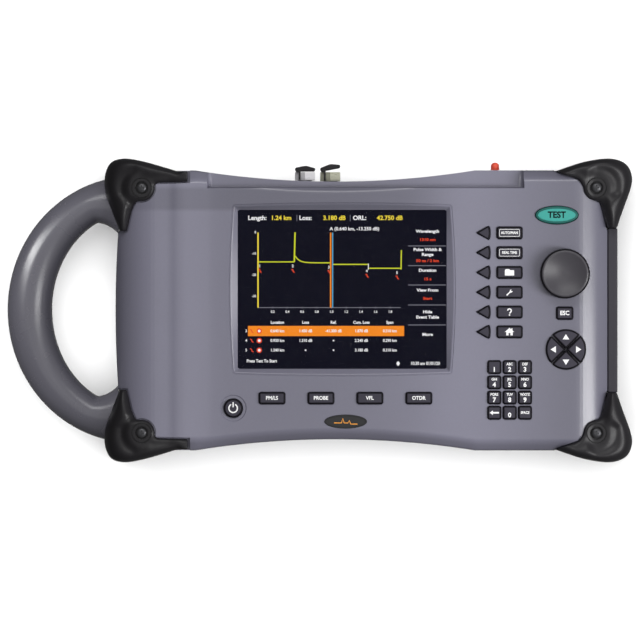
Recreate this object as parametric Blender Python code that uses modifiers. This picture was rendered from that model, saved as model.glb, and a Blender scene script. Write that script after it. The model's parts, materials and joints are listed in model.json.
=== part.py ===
"""Hand-held optical time-domain reflectometer with a C-shaped carry handle.

The instrument lies on its back.  X runs from the handle to the key side, Y runs from the lower
edge to the connector edge, and Z points out of the screen.  The origin is the middle of the
instrument in X and Y, on the plane that the rear faces of the four corner bumpers rest on.
All dimensions below are in millimetres; meshes are written in metres.
"""

import math

import bmesh
import bpy
from mathutils import Matrix, Vector

MM = 0.001
GAP = 0.3                      # clearance between touching pieces

# --- casing ------------------------------------------------------------------
LEFT_X = -132.4                # outermost point of the bowed left side
RIGHT_X = 185.3
HALF_HEIGHT = 90.4             # half of the casing's size in Y, beyond the waist
WAIST_X = 9.5                  # centre of the waist
WAIST_HALF = 90.3              # half of the waist's length
WAIST_DEPTH = 7.2
LEFT_BOW = 2.0                 # how far the left side bows out over BOW_HALF
BOW_HALF = 52.0
LEFT_CORNER_R = 14.0
RIGHT_CORNER_R = 11.0
WALL = 2.8
REAR_Z = 3.3                   # rear face of the rear casing
REAR_CHAMFER = 4.5
SEAM_Z = 36.0                  # top edge of the rear casing
SHOULDER_Z = 64.0              # where the front edge's chamfer starts
PANEL_Z = 70.0                 # flat front panel
EDGE_RISE = 8.0                # height that the chamfer's loft runs to, past the flat panel
EDGE_INSET = 7.3               # how far the chamfer leans in over that height

# --- front surface along X ------------------------------------------------------------------
GRIP_Z = 71.0                  # flat of the left end, a little over the panel
GRIP_FLAT_X = (-103.0, -99.0)
GRIP_DROP = 21.0               # how far the left end rolls off to the left side
RIDGE_X = -90.5                # soft rib that guards the panel on the left
RIDGE_Z = 72.2
PANEL_START_X = -69.5
ROLL_START_X = 165.0
ROLL_DROP = 10.0               # how far the right end rolls off to the right side

# --- screen ------------------------------------------------------------------
SCREEN_CENTRE = (14.1, 13.6)
SCREEN_SIZE = (134.7, 102.5)
BEZEL_DEPTH = 2.0
BEZEL_MARGIN = 3.0
BEZEL_BOW = (2.4, 1.4)         # how far the bezel's sides bow out in X and in Y
WINDOW_THICKNESS = 2.0
WINDOW_LAP = 3.0
LCD_SIZE = (153.0, 116.6, 8.0)

# --- connector edge ------------------------------------------------------------------
BAY_X = (-72.7, 131.2)
BAY_Y = 79.2
BAY_Z = 62.0
PORT_CENTRES = {"a": -9.9, "b": 6.4}
PORT_Z = 48.0
PORT_SIZE = 13.0
PORT_END_Y = 89.4
PORT_NECK_R = 4.5
PORT_BORE_R = 4.0              # socket in a port's outer end
PORT_BORE_DEPTH = 3.5
SLEEVE_R = 1.6                 # alignment sleeve inside the socket
CAP_PIVOT = (-5.2, 91.1)       # pivot of a dust cap: X from the port's centre, and Y
STRAP_X = -3.5                 # strap that carries the cap's lug, X from the port's centre
STRAP_HALF = 0.8
LUG_R = 1.4
CAP_PIN_R = 0.7
CAP_B_REST = 11.0              # degrees that cap b stands ajar at rest
VFL_X = 113.0
VFL_CAP_R = 2.8
VFL_CAP_END_Y = 95.6
VFL_BORE_R = 1.55
FERRULE_R = 1.25

# --- keys ------------------------------------------------------------------
TEST_KEY_SIZE = (27.4, 11.3)
TEST_KEY_CENTRE = (152.5, 61.5)
FUNCTION_KEY_SIZE = (16.2, 7.6)
ROW_Y = [50.0 - 12.77 * i for i in range(6)]
FUNCTION_KEY_X = 122.0
SOFT_KEY_X = 105.1
ESC_KEY_SIZE = (10.4, 7.9)
ESC_KEY_CENTRE = (157.6, -1.8)
POWER_KEY_SIZE = (11.8, 11.8)
POWER_KEY_CENTRE = (-56.2, -63.1)
MODE_KEY_SIZE = (16.6, 7.4)
MODE_KEY_START = (-31.2, -56.6)
MODE_KEY_PITCH = 31.57
NUMBER_KEY_SIZE = (8.5, 8.4)
NUMBER_KEY_START = (112.2, -36.6)
NUMBER_KEY_PITCH = (9.9, 9.8)
KEY_CORNER_R = 1.6
KEY_TOP_Z = 71.8
KEY_FACE_INSET = 0.4           # chamfer round a key's face
KEY_FLANGE = 0.6               # how far the flange under the panel stands out
FLANGE_TOP_Z = 65.8
KEY_BASE_Z = 63.6
KEY_TRAVEL = 1.2
KNOB_CENTRE = (157.8, 23.7)
KNOB_R = 16.2
KNOB_BASE_Z = 70.4
KNOB_TOP_Z = 81.0
KNOB_SHAFT_R = 3.0
DPAD_CENTRE = (158.4, -25.2)
DPAD_R = 12.8
DPAD_GAP = 1.1

# --- handle, bumpers and guard ------------------------------------------------------------------
HANDLE_CENTRE = (-120.6, 0.6)
HANDLE_OUTER = (81.9, 86.4)    # semi-axes of the handle's outer edge
HANDLE_INNER = (53.0, 62.6)    # semi-axes of the hand opening
HANDLE_ROOT = (24.1, 56.0)     # where the inner edge leaves the ellipse, from the centre
ROOT_CURVE = 0.035             # how the inner edge curves on from there to the casing, per mm
HANDLE_Z = 38.0
HANDLE_HALF_DEPTH = 13.5
SCREW_CENTRES = {
    "top_left": (-115.3, 79.0),
    "bottom_left": (-115.3, -79.0),
    "top_right": (178.2, 79.2),
    "bottom_right": (178.2, -79.2),
}
LEFT_BUMPER_EDGE = ((-92.0, 89.7), (-104.0, 93.4), (-116.0, 96.6), (-127.0, 98.1), (-135.4, 95.4),
                    (-139.2, 87.0), (-138.9, 76.5), (-134.6, 64.0), (-129.6, 51.2))
RIGHT_BUMPER_EDGE = ((191.5, 53.3), (195.2, 64.0), (200.3, 78.0), (201.4, 86.5), (197.4, 94.6),
                     (187.0, 98.1), (172.0, 96.3), (160.5, 92.9), (151.4, 89.7))
BUMPER_LIFT = 2.4              # how far the bumpers' arms stand over the front surface
BOSS_R = 8.6
SCREW_SEAT = 1.7               # height of the screw's seat over the casing
SCREW_HEAD_R = 3.1
SCREW_SHANK_R = 1.5
SCREW_END_Z = 22.0
SCREW_RECESS_R = 4.4           # recess round the screw's head
SCREW_HOLE_R = 1.9
SCREW_POST_R = 4.2
GUARD_X = (185.6, 191.3)
GUARD_HALF_Y = 52.9
GUARD_Z = (15.0, 58.0)

# --- inside ------------------------------------------------------------------
BOARD_Z = (58.4, 60.0)
BOARD_X = (-72.0, 173.5)
BOARD_Y = (-77.0, 74.0)
MAT_Z = (60.3, 61.8)
MAT_INNER = (94.5, -49.0)      # inner corner of the L-shaped mat
ENCODER_R = 7.0
MODULE_BOX = ((-45.0, 30.0, 34.0), (128.0, 78.0, 54.0))
BATTERY_BOX = ((-52.0, -38.0, 7.5), (52.0, 38.0, 30.0))
DOOR_SIZE = (124.0, 94.0)
DOOR_LEDGE = 6.0
DOOR_THICKNESS = 1.5

# --- colours: red, green, blue, roughness, metallic ---------------------------------------------------
FINISHES = {
    "casing": (0.19, 0.185, 0.215, 0.55, 0.0),
    "handle": (0.085, 0.083, 0.1, 0.6, 0.0),
    "bumper": (0.022, 0.02, 0.023, 0.65, 0.0),
    "guard": (0.075, 0.073, 0.085, 0.65, 0.0),
    "screw": (0.04, 0.04, 0.045, 0.4, 0.8),
    "window": (0.005, 0.006, 0.012, 0.12, 0.0),
    "lcd": (0.02, 0.02, 0.03, 0.4, 0.0),
    "board": (0.02, 0.11, 0.05, 0.5, 0.0),
    "mat": (0.12, 0.12, 0.13, 0.8, 0.0),
    "battery": (0.05, 0.07, 0.2, 0.5, 0.0),
    "metal": (0.6, 0.6, 0.62, 0.3, 1.0),
    "port": (0.72, 0.72, 0.73, 0.25, 1.0),
    "cap": (0.018, 0.018, 0.02, 0.6, 0.0),
    "vfl_cap": (0.85, 0.08, 0.04, 0.4, 0.0),
    "knob": (0.075, 0.072, 0.085, 0.5, 0.0),
    "key": (0.05, 0.048, 0.06, 0.6, 0.0),
    "test_key": (0.06, 0.42, 0.35, 0.5, 0.0),
}


# --- collections, materials and objects ------------------------------------------------------------------

def clear_scene():
    """Remove every object that the scene holds."""
    for obj in list(bpy.data.objects):
        bpy.data.objects.remove(obj, do_unlink=True)


def new_collection(name):
    collection = bpy.data.collections.new(name)
    bpy.context.scene.collection.children.link(collection)
    return collection


def finish_material(name):
    """Principled material for one finish, made once and shared."""
    material = bpy.data.materials.get(name)
    if material is None:
        red, green, blue, roughness, metallic = FINISHES[name]
        material = bpy.data.materials.new(name)
        material.use_nodes = True
        shader = material.node_tree.nodes["Principled BSDF"]
        shader.inputs["Base Color"].default_value = (red, green, blue, 1.0)
        shader.inputs["Roughness"].default_value = roughness
        shader.inputs["Metallic"].default_value = metallic
    return material


def add_object(name, bm, finish, origin=(0.0, 0.0, 0.0)):
    """Turn a bmesh in millimetres into an object in metres with its origin at a given point."""
    bm.transform(Matrix.Scale(MM, 4) @ Matrix.Translation(-Vector(origin)))
    bmesh.ops.recalc_face_normals(bm, faces=bm.faces)
    mesh = bpy.data.meshes.new(name)
    bm.to_mesh(mesh)
    bm.free()
    obj = bpy.data.objects.new(name, mesh)
    obj.location = Vector(origin) * MM
    if finish is None:
        CUTTERS.objects.link(obj)
        obj.hide_render = True
        obj.display_type = "WIRE"
    else:
        PARTS.objects.link(obj)
        mesh.materials.append(finish_material(finish))
    return obj


def combine(obj, other, operation):
    """Add an exact Boolean of another object to an object."""
    modifier = obj.modifiers.new(other.name, "BOOLEAN")
    modifier.object = other
    modifier.operation = operation
    modifier.solver = "EXACT"
    return obj


def cut(obj, *cutters):
    for cutter in cutters:
        combine(obj, cutter, "DIFFERENCE")
    return obj


def shade_round(obj):
    """Shade a turned or rounded piece smooth, with its real edges kept sharp."""
    obj.data.shade_smooth()
    obj.data.set_sharp_from_angle(angle=math.radians(35.0))
    return obj


# --- outlines, all counter-clockwise lists of (x, y) --------------------------------------------------

def arc(centre, radius, start, end, steps):
    """Points along a circular arc, angles in degrees."""
    angles = [math.radians(start + (end - start) * i / steps) for i in range(steps + 1)]
    return [(centre[0] + radius * math.cos(a), centre[1] + radius * math.sin(a)) for a in angles]


def ellipse(size, count):
    """Closed ellipse round the origin."""
    turns = [2.0 * math.pi * i / count for i in range(count)]
    return [(size[0] / 2 * math.cos(a), size[1] / 2 * math.sin(a)) for a in turns]


def rounded_rectangle(size, radius, steps=2):
    """Closed rectangle round the origin with round corners."""
    x, y = size[0] / 2 - radius, size[1] / 2 - radius
    corners = (((x, y), 0), ((-x, y), 90), ((-x, -y), 180), ((x, -y), 270))
    return [p for centre, angle in corners for p in arc(centre, radius, angle, angle + 90, steps)]


def smooth(points, steps=3):
    """Open Catmull-Rom curve through points."""
    padded = [points[0], *points, points[-1]]
    curve = []
    for p0, p1, p2, p3 in zip(padded, padded[1:], padded[2:], padded[3:]):
        for i in range(steps):
            t = i / steps
            curve.append(tuple(
                0.5 * (2 * b + (c - a) * t + (2 * a - 5 * b + 4 * c - d) * t ** 2
                       + (3 * b - a - 3 * c + d) * t ** 3)
                for a, b, c, d in zip(p0, p1, p2, p3)))
    return [*curve, points[-1]]


def grow(outline, distance):
    """Move a closed counter-clockwise outline outwards along its mitred normals."""
    moved = []
    for i, here in enumerate(outline):
        before = Vector(here) - Vector(outline[i - 1])
        after = Vector(outline[(i + 1) % len(outline)]) - Vector(here)
        n1 = Vector((before.y, -before.x)).normalized()
        n2 = Vector((after.y, -after.x)).normalized()
        mitre = (n1 + n2) / max(1.0 + n1.dot(n2), 0.4)
        moved.append((here[0] + mitre.x * distance, here[1] + mitre.y * distance))
    return moved


def shift(outline, centre):
    return [(x + centre[0], y + centre[1]) for x, y in outline]


def mirror_y(outline):
    """Mirror an outline in the X axis and keep it counter-clockwise."""
    return [(x, -y) for x, y in reversed(outline)]


# --- solids ------------------------------------------------------------------

def loft(bm, rings):
    """Closed solid through rings of equal length, each a list of (x, y, z)."""
    rows = [[bm.verts.new(p) for p in ring] for ring in rings]
    count = len(rings[0])
    for low, high in zip(rows, rows[1:]):
        for i in range(count):
            j = (i + 1) % count
            bm.faces.new((low[i], low[j], high[j], high[i]))
    bm.faces.new(list(reversed(rows[0])))
    bm.faces.new(rows[-1])


def stack(bm, *levels):
    """Solid through levels of (outline, z)."""
    loft(bm, [[(x, y, z) for x, y in outline] for outline, z in levels])


def prism(name, outline, z_low, z_high, finish=None, origin=(0.0, 0.0, 0.0)):
    bm = bmesh.new()
    stack(bm, (outline, z_low), (outline, z_high))
    return add_object(name, bm, finish, origin)


def add_box(bm, low, high):
    size = [b - a for a, b in zip(low, high)]
    middle = [(a + b) / 2 for a, b in zip(low, high)]
    matrix = Matrix.Translation(middle) @ Matrix.Diagonal((*size, 1.0))
    bmesh.ops.create_cube(bm, size=1.0, matrix=matrix)


def box(name, low, high, finish=None):
    bm = bmesh.new()
    add_box(bm, low, high)
    return add_object(name, bm, finish)


def add_rod(bm, radius, start, end, sides=16):
    """Cylinder between two points."""
    start, end = Vector(start), Vector(end)
    turn = (end - start).to_track_quat("Z", "Y").to_matrix().to_4x4()
    matrix = Matrix.Translation((start + end) / 2) @ turn
    bmesh.ops.create_cone(bm, cap_ends=True, segments=sides, radius1=radius, radius2=radius,
                          depth=(end - start).length, matrix=matrix)


def rod(name, radius, start, end, finish=None, sides=16):
    bm = bmesh.new()
    add_rod(bm, radius, start, end, sides)
    return add_object(name, bm, finish)


def turned(name, profile, centre, finish, steps=32):
    """Solid of revolution about a vertical axis, from (radius, z) points, top to bottom."""
    mesh = bpy.data.meshes.new(name)
    points = [(radius * MM, 0.0, (z - centre[2]) * MM) for radius, z in profile]
    mesh.from_pydata(points, [(i, i + 1) for i in range(len(points) - 1)], [])
    mesh.materials.append(finish_material(finish))
    obj = bpy.data.objects.new(name, mesh)
    obj.location = Vector(centre) * MM
    PARTS.objects.link(obj)
    screw = obj.modifiers.new("turn", "SCREW")
    screw.steps = screw.render_steps = steps
    screw.use_merge_vertices = True
    screw.merge_threshold = 0.00001
    screw.use_smooth_shade = True
    return obj


# --- casing shape ------------------------------------------------------------------

def waist_y(x):
    """Half height of the casing's outline at x."""
    t = min(abs(x - WAIST_X) / WAIST_HALF, 1.0)
    return HALF_HEIGHT - WAIST_DEPTH * (1.0 - t * t)


def left_x(y):
    """Left side of the casing's outline at y."""
    return LEFT_X + LEFT_BOW * (y / BOW_HALF) ** 2


def casing_outline():
    """Plan outline: waisted top and bottom, bowed left side, round corners."""
    corner_y = HALF_HEIGHT - LEFT_CORNER_R
    left_centre = (left_x(corner_y) + LEFT_CORNER_R, corner_y)
    right_centre = (RIGHT_X - RIGHT_CORNER_R, HALF_HEIGHT - RIGHT_CORNER_R)
    waist = [(x, waist_y(x)) for x in (WAIST_X + WAIST_HALF * t / 5 for t in range(5, -6, -1))]
    top = [*arc(right_centre, RIGHT_CORNER_R, 0, 90, 3), *waist,
           *arc(left_centre, LEFT_CORNER_R, 90, 180, 3)]
    side = [(left_x(y), y) for y in (51.0, 17.0, -17.0, -51.0)]
    return [*top, *side, *mirror_y(top)]


def ease(start, end, steps):
    """Points along a soft step that is level at both ends."""
    ts = [i / steps for i in range(steps + 1)]
    return [(start[0] + (end[0] - start[0]) * t,
             start[1] + (end[1] - start[1]) * t * t * (3.0 - 2.0 * t)) for t in ts]


def front_profile():
    """Front surface along X as (x, z), from left to right."""
    drops = [math.radians(90.0 * i / 6) for i in range(7)]
    left = [(GRIP_FLAT_X[0] - (GRIP_FLAT_X[0] - LEFT_X) * math.cos(a),
             GRIP_Z - GRIP_DROP * (1.0 - math.sin(a))) for a in drops]
    ridge = [*ease((GRIP_FLAT_X[1], GRIP_Z), (RIDGE_X, RIDGE_Z), 3),
             *ease((RIDGE_X, RIDGE_Z), (PANEL_START_X, PANEL_Z), 5)[1:]]
    length = RIGHT_X - ROLL_START_X
    radius = (length ** 2 + ROLL_DROP ** 2) / (2.0 * ROLL_DROP)
    roll = []
    for i in range(6):
        step = length * i / 5
        roll.append((ROLL_START_X + step,
                     PANEL_Z - radius + math.sqrt(radius ** 2 - step ** 2)))
    return [*left, *ridge, *roll]


def front_z(x):
    """Height of the front surface at x."""
    profile = front_profile()
    for (x1, z1), (x2, z2) in zip(profile, profile[1:]):
        if x1 <= x <= x2:
            return z1 + (z2 - z1) * (x - x1) / max(x2 - x1, 1e-9)
    return profile[0][1] if x < profile[0][0] else profile[-1][1]


def profile_prism(name, profile, depth=130.0):
    """Cutter that keeps everything under an XZ profile, along the whole of Y."""
    first, last = profile[0], profile[-1]
    section = [(first[0] - 40.0, -30.0), (last[0] + 40.0, -30.0),
               (last[0] + 40.0, last[1]), *reversed(profile), (first[0] - 40.0, first[1])]
    bm = bmesh.new()
    loft(bm, [[(x, y, z) for x, z in section] for y in (-depth, depth)])
    return add_object(name, bm, None)


def lifted_profile(distance):
    """Front profile moved out by a distance, square to its slope."""
    profile = front_profile()
    ends = [(profile[0][0] - 1e-3, profile[0][1] - 20.0), *profile,
            (profile[-1][0] + 1e-3, profile[-1][1] - 20.0)]
    moved = []
    for before, here, after in zip(ends, ends[1:], ends[2:]):
        a = (Vector(here) - Vector(before)).normalized()
        b = (Vector(after) - Vector(here)).normalized()
        n1, n2 = Vector((-a.y, a.x)), Vector((-b.y, b.x))
        mitre = (n1 + n2) / max(1.0 + n1.dot(n2), 0.4)
        moved.append((here[0] + mitre.x * distance, here[1] + mitre.y * distance))
    return moved


def casing_levels(distance):
    """Levels of the casing's plan loft, its whole surface moved out by a distance."""
    outline = casing_outline()
    corner = distance * 0.4        # keeps the chamfers' normal distance nearly even
    return [
        (grow(outline, distance - REAR_CHAMFER + corner), REAR_Z - distance),
        (grow(outline, distance), REAR_Z + REAR_CHAMFER - corner),
        (grow(outline, distance), SHOULDER_Z + corner),
        (grow(outline, distance - EDGE_INSET), SHOULDER_Z + EDGE_RISE + corner),
    ]


def envelope(name, distance):
    """Cutter of the whole closed casing, its surface moved out (or in) by a distance."""
    bm = bmesh.new()
    stack(bm, *casing_levels(distance))
    solid = add_object(name, bm, None)
    return combine(solid, profile_prism(name + "_profile", lifted_profile(distance)), "INTERSECT")


def casing_half(name, z_low, z_high):
    """One half of the casing before it is hollowed out."""
    levels = casing_levels(0.0)
    outline = levels[1][0]
    if z_low < REAR_Z:
        levels = [levels[0], levels[1], (outline, z_high)]
    else:
        levels = [(outline, z_low), levels[2], levels[3]]
    bm = bmesh.new()
    stack(bm, *levels)
    return add_object(name, bm, "casing")


# --- keys ------------------------------------------------------------------

def sector(angle):
    """Quarter of the direction pad, its two straight sides held back from its neighbours."""
    back = DPAD_GAP / 2.0
    reach = math.degrees(math.asin(back / DPAD_R))
    tip = (back * math.sqrt(2.0), 0.0)
    rim = arc((0.0, 0.0), DPAD_R, -45.0 + reach, 45.0 - reach, 6)
    turn = math.radians(angle)
    return [(x * math.cos(turn) - y * math.sin(turn), x * math.sin(turn) + y * math.cos(turn))
            for x, y in (tip, *rim)]


def arrow_key():
    """Triangle that points left, with a bowed right side and blunt corners."""
    return [(3.3, -4.3), (4.1, -2.4), (4.4, 0.0), (4.1, 2.4), (3.3, 4.3), (2.4, 4.1),
            (-3.9, 0.9), (-4.4, 0.0), (-3.9, -0.9), (2.4, -4.1)]


def key_table():
    """Every key as (name, centre, outline, finish)."""
    keys = [("test_key", TEST_KEY_CENTRE, ellipse(TEST_KEY_SIZE, 24), "test_key")]
    functions = ("auto", "real_time", "file", "setup", "help", "home")
    for name, y in zip(functions, ROW_Y):
        outline = rounded_rectangle(FUNCTION_KEY_SIZE, KEY_CORNER_R)
        keys.append((f"{name}_key", (FUNCTION_KEY_X, y), outline, "key"))
    outline = rounded_rectangle(ESC_KEY_SIZE, KEY_CORNER_R)
    keys.append(("esc_key", ESC_KEY_CENTRE, outline, "key"))
    for name, angle in (("right", 0.0), ("up", 90.0), ("left", 180.0), ("down", 270.0)):
        keys.append((f"{name}_key", DPAD_CENTRE, sector(angle), "key"))
    keys.append(("power_key", POWER_KEY_CENTRE, ellipse(POWER_KEY_SIZE, 20), "key"))
    for index, name in enumerate(("power_meter", "probe", "fault_locator", "trace")):
        centre = (MODE_KEY_START[0] + MODE_KEY_PITCH * index, MODE_KEY_START[1])
        outline = rounded_rectangle(MODE_KEY_SIZE, KEY_CORNER_R)
        keys.append((f"{name}_key", centre, outline, "key"))
    for index, y in enumerate(ROW_Y):
        keys.append((f"soft_key_{index + 1}", (SOFT_KEY_X, y), arrow_key(), "key"))
    labels = ("1", "2", "3", "4", "5", "6", "7", "8", "9", "back", "0", "space")
    for index, label in enumerate(labels):
        column, row = index % 3, index // 3
        centre = (NUMBER_KEY_START[0] + NUMBER_KEY_PITCH[0] * column,
                  NUMBER_KEY_START[1] - NUMBER_KEY_PITCH[1] * row)
        outline = rounded_rectangle(NUMBER_KEY_SIZE, KEY_CORNER_R, 1)
        keys.append((f"number_key_{label}", centre, outline, "key"))
    return keys


def make_key(name, centre, outline, finish, flange):
    """Key cap that stands through the panel, with a flange that keeps it in."""
    side = shift(outline, centre)
    face = shift(grow(outline, -KEY_FACE_INSET), centre)
    levels = [(side, FLANGE_TOP_Z), (side, KEY_TOP_Z - KEY_FACE_INSET), (face, KEY_TOP_Z)]
    if flange:
        base = shift(grow(outline, flange), centre)
        levels = [(base, KEY_BASE_Z), (base, FLANGE_TOP_Z), *levels]
    else:
        levels[0] = (side, KEY_BASE_Z)
    bm = bmesh.new()
    stack(bm, *levels)
    return add_object(name, bm, finish, (*centre, KEY_TOP_Z))


def make_keys():
    """All keys, and one cutter that holds the openings for them."""
    bm = bmesh.new()
    for name, centre, outline, finish in key_table():
        flange = 0.0 if centre == DPAD_CENTRE else KEY_FLANGE
        make_key(name, centre, outline, finish, flange)
        hole = shift(grow(outline, GAP), centre)
        stack(bm, (hole, SHOULDER_Z - 4.0), (hole, PANEL_Z + 4.0))
    return add_object("key_openings", bm, None)


def make_knob():
    """Rotary knob with a dished top, and the stub that turns in the encoder."""
    rim = KNOB_R - 2.4
    profile = [(0.0, KNOB_TOP_Z - 1.2), (rim * 0.55, KNOB_TOP_Z - 0.9), (rim, KNOB_TOP_Z),
               (KNOB_R - 0.7, KNOB_TOP_Z - 1.0), (KNOB_R, KNOB_TOP_Z - 3.4),
               (KNOB_R, KNOB_BASE_Z), (KNOB_SHAFT_R, KNOB_BASE_Z),
               (KNOB_SHAFT_R, BOARD_Z[1] + 2.5), (0.0, BOARD_Z[1] + 2.5)]
    return turned("knob", profile, (*KNOB_CENTRE, KNOB_TOP_Z), "knob")


# --- screen and inside pieces ------------------------------------------------------------------

def bezel_outline():
    """Outer line of the recess round the screen, its four sides bowed out."""
    half_x, half_y = (s / 2 + BEZEL_MARGIN for s in SCREEN_SIZE)
    steps = [-0.97, -0.6, -0.2, 0.2, 0.6, 0.97]
    bow = [1.0 - t * t for t in steps]
    right = [(half_x + BEZEL_BOW[0] * b, half_y * t) for t, b in zip(steps, bow)]
    top = [(-half_x * t, half_y + BEZEL_BOW[1] * b) for t, b in zip(steps, bow)]
    return [*right, *top, *[(-x, -y) for x, y in right], *[(-x, -y) for x, y in top]]


def screen_outline():
    """Window opening with as many points as the bezel's outline."""
    half_x, half_y = (s / 2 for s in SCREEN_SIZE)
    steps = [-0.98, -0.6, -0.2, 0.2, 0.6, 0.98]
    right = [(half_x, half_y * t) for t in steps]
    top = [(-half_x * t, half_y) for t in steps]
    return [*right, *top, *[(-x, -y) for x, y in right], *[(-x, -y) for x, y in top]]


def screen_cutter():
    """Through opening of the screen, and the sloped bezel round it."""
    inner = shift(screen_outline(), SCREEN_CENTRE)
    outer = shift(bezel_outline(), SCREEN_CENTRE)
    bm = bmesh.new()
    stack(bm, (inner, SHOULDER_Z - 4.0), (inner, PANEL_Z - BEZEL_DEPTH), (outer, PANEL_Z),
          (outer, PANEL_Z + 4.0))
    return add_object("screen_opening", bm, None)


def centred_box(name, size, z_low, z_high, finish):
    """Box centred on the screen."""
    low = [c - s / 2 for c, s in zip(SCREEN_CENTRE, size)]
    high = [c + s / 2 for c, s in zip(SCREEN_CENTRE, size)]
    return box(name, (*low, z_low), (*high, z_high), finish)


def make_screen():
    """Clear window under the bezel, and the display module behind it."""
    top = PANEL_Z - WALL - GAP
    size = [s + 2 * WINDOW_LAP for s in SCREEN_SIZE]
    centred_box("display_window", size, top - WINDOW_THICKNESS, top, "window")
    lcd_top = top - WINDOW_THICKNESS - GAP
    centred_box("lcd_module", LCD_SIZE[:2], lcd_top - LCD_SIZE[2], lcd_top, "lcd")


def make_board():
    """Circuit board with the encoder that the knob turns, cut out round the display."""
    board = box("main_board", (BOARD_X[0], BOARD_Y[0], BOARD_Z[0]),
                (BOARD_X[1], BOARD_Y[1], BOARD_Z[1]), "board")
    encoder = rod("encoder_body", ENCODER_R, (*KNOB_CENTRE, BOARD_Z[0] - 2.0),
                  (*KNOB_CENTRE, PANEL_Z - WALL - GAP))
    combine(board, encoder, "UNION")
    bore = rod("encoder_bore", KNOB_SHAFT_R + 0.3, (*KNOB_CENTRE, BOARD_Z[1] + 2.0),
               (*KNOB_CENTRE, PANEL_Z))
    low = [c - s / 2 - 1.0 for c, s in zip(SCREEN_CENTRE, LCD_SIZE)]
    high = [c + s / 2 + 1.0 for c, s in zip(SCREEN_CENTRE, LCD_SIZE)]
    opening = box("display_cut_out", (*low, 50.0), (*high, 66.0))
    return cut(board, bore, opening)


def make_mat():
    """Rubber mat under the keys, in an L round the display, with a hole for the encoder."""
    left, right = BOARD_X[0] + 2.0, BOARD_X[1] - 0.5
    inner_x, inner_y = MAT_INNER
    outline = [(left, BOARD_Y[0] + 2.0), (right, BOARD_Y[0] + 2.0), (right, BOARD_Y[1] - 2.0),
               (inner_x, BOARD_Y[1] - 2.0), (inner_x, inner_y), (left, inner_y)]
    mat = prism("key_mat", outline, *MAT_Z, "mat")
    hole = rod("mat_hole", ENCODER_R + 1.0, (*KNOB_CENTRE, 50.0), (*KNOB_CENTRE, 66.0))
    return cut(mat, hole)


def make_power():
    """Battery pack behind its door in the rear casing."""
    box("battery_pack", *BATTERY_BOX, "battery")
    outline = rounded_rectangle([s - 2 * GAP for s in DOOR_SIZE], 5.0, 3)
    prism("battery_door", outline, REAR_Z, REAR_Z + DOOR_THICKNESS, "casing")


def make_optics():
    """Shielded optical module, with the fault locator's ferrule out through the casing."""
    low, high = MODULE_BOX
    module = box("optical_module", low, high, "metal")
    ferrule = rod("ferrule", FERRULE_R, (VFL_X, high[1] - 4.0, PORT_Z),
                  (VFL_X, VFL_CAP_END_Y - 1.6, PORT_Z), sides=12)
    return combine(module, ferrule, "UNION")


# --- connectors ------------------------------------------------------------------

def port_back_y(x):
    """Back face of a port, just clear of the casing's curved wall."""
    return max(waist_y(x - PORT_SIZE / 2), waist_y(x + PORT_SIZE / 2)) + GAP


def make_port(letter, x):
    """Square fibre adapter with its neck through the casing, and the dust cap's hinge lug."""
    half = PORT_SIZE / 2
    back = port_back_y(x)
    pivot = (x + CAP_PIVOT[0], CAP_PIVOT[1])
    top = PORT_Z + half
    name = f"port_{letter}"
    port = box(name, (x - half, back, PORT_Z - half), (x + half, PORT_END_Y, top), "port")
    neck = rod(name + "_neck", PORT_NECK_R, (x, back + 2.0, PORT_Z),
               (x, MODULE_BOX[1][1] + GAP, PORT_Z), sides=20)
    strap_x = x + STRAP_X
    strap = box(name + "_strap", (strap_x - STRAP_HALF, back + 0.4, top - 0.5),
                (strap_x + STRAP_HALF, PORT_END_Y - 0.4, top + 0.9))
    lug = rod(name + "_lug", LUG_R, (*pivot, top - 0.3), (*pivot, top + 0.9), sides=12)
    bridge = box(name + "_bridge", (pivot[0] - 0.9, PORT_END_Y - 1.6, top - 0.2),
                 (strap_x + 0.6, pivot[1], top + 0.8))
    pin = rod(name + "_pin", CAP_PIN_R, (*pivot, top + 0.4), (*pivot, top - 4.0), sides=10)
    for piece in (neck, strap, lug, bridge, pin):
        combine(port, piece, "UNION")
    socket = rod(name + "_socket", PORT_BORE_R, (x, PORT_END_Y - PORT_BORE_DEPTH, PORT_Z),
                 (x, PORT_END_Y + 2.0, PORT_Z))
    sleeve = rod(name + "_sleeve", SLEEVE_R, (x, PORT_END_Y - PORT_BORE_DEPTH - 1.5, PORT_Z),
                 (x, PORT_END_Y - 0.6, PORT_Z), sides=12)
    cut(port, socket)
    return combine(port, sleeve, "UNION")


def cap_outline():
    """Arched dust cap in plan, from its pivot end to its free end, round the port's centre."""
    outer = smooth([(6.6, 91.6), (1.2, 93.2), (-3.0, 92.8), (-5.2, 92.5), (-6.4, 91.9)])
    return [(6.3, 89.8), *outer, (-6.6, 91.1), (-6.3, 90.3), (-5.2, 89.8)]


def make_cap(letter, x, rest_angle):
    """Flip cap that turns about the pin of its port."""
    half = PORT_SIZE / 2 - 0.6
    pivot = (x + CAP_PIVOT[0], CAP_PIVOT[1], PORT_Z)
    name = f"port_cap_{letter}"
    outline = shift(cap_outline(), (x, 0.0))
    cap = prism(name, outline, PORT_Z - half, PORT_Z + PORT_SIZE / 2 - 0.6, "cap", pivot)
    top = PORT_Z + PORT_SIZE / 2
    hole = rod(name + "_hole", CAP_PIN_R + 0.2, (*pivot[:2], top - 4.5), (*pivot[:2], top + 1.0),
               sides=10)
    hole.parent = cap
    hole.matrix_parent_inverse = Matrix.Translation(-cap.location)
    cut(cap, hole)
    cap.rotation_euler.z = math.radians(rest_angle)
    return cap


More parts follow.
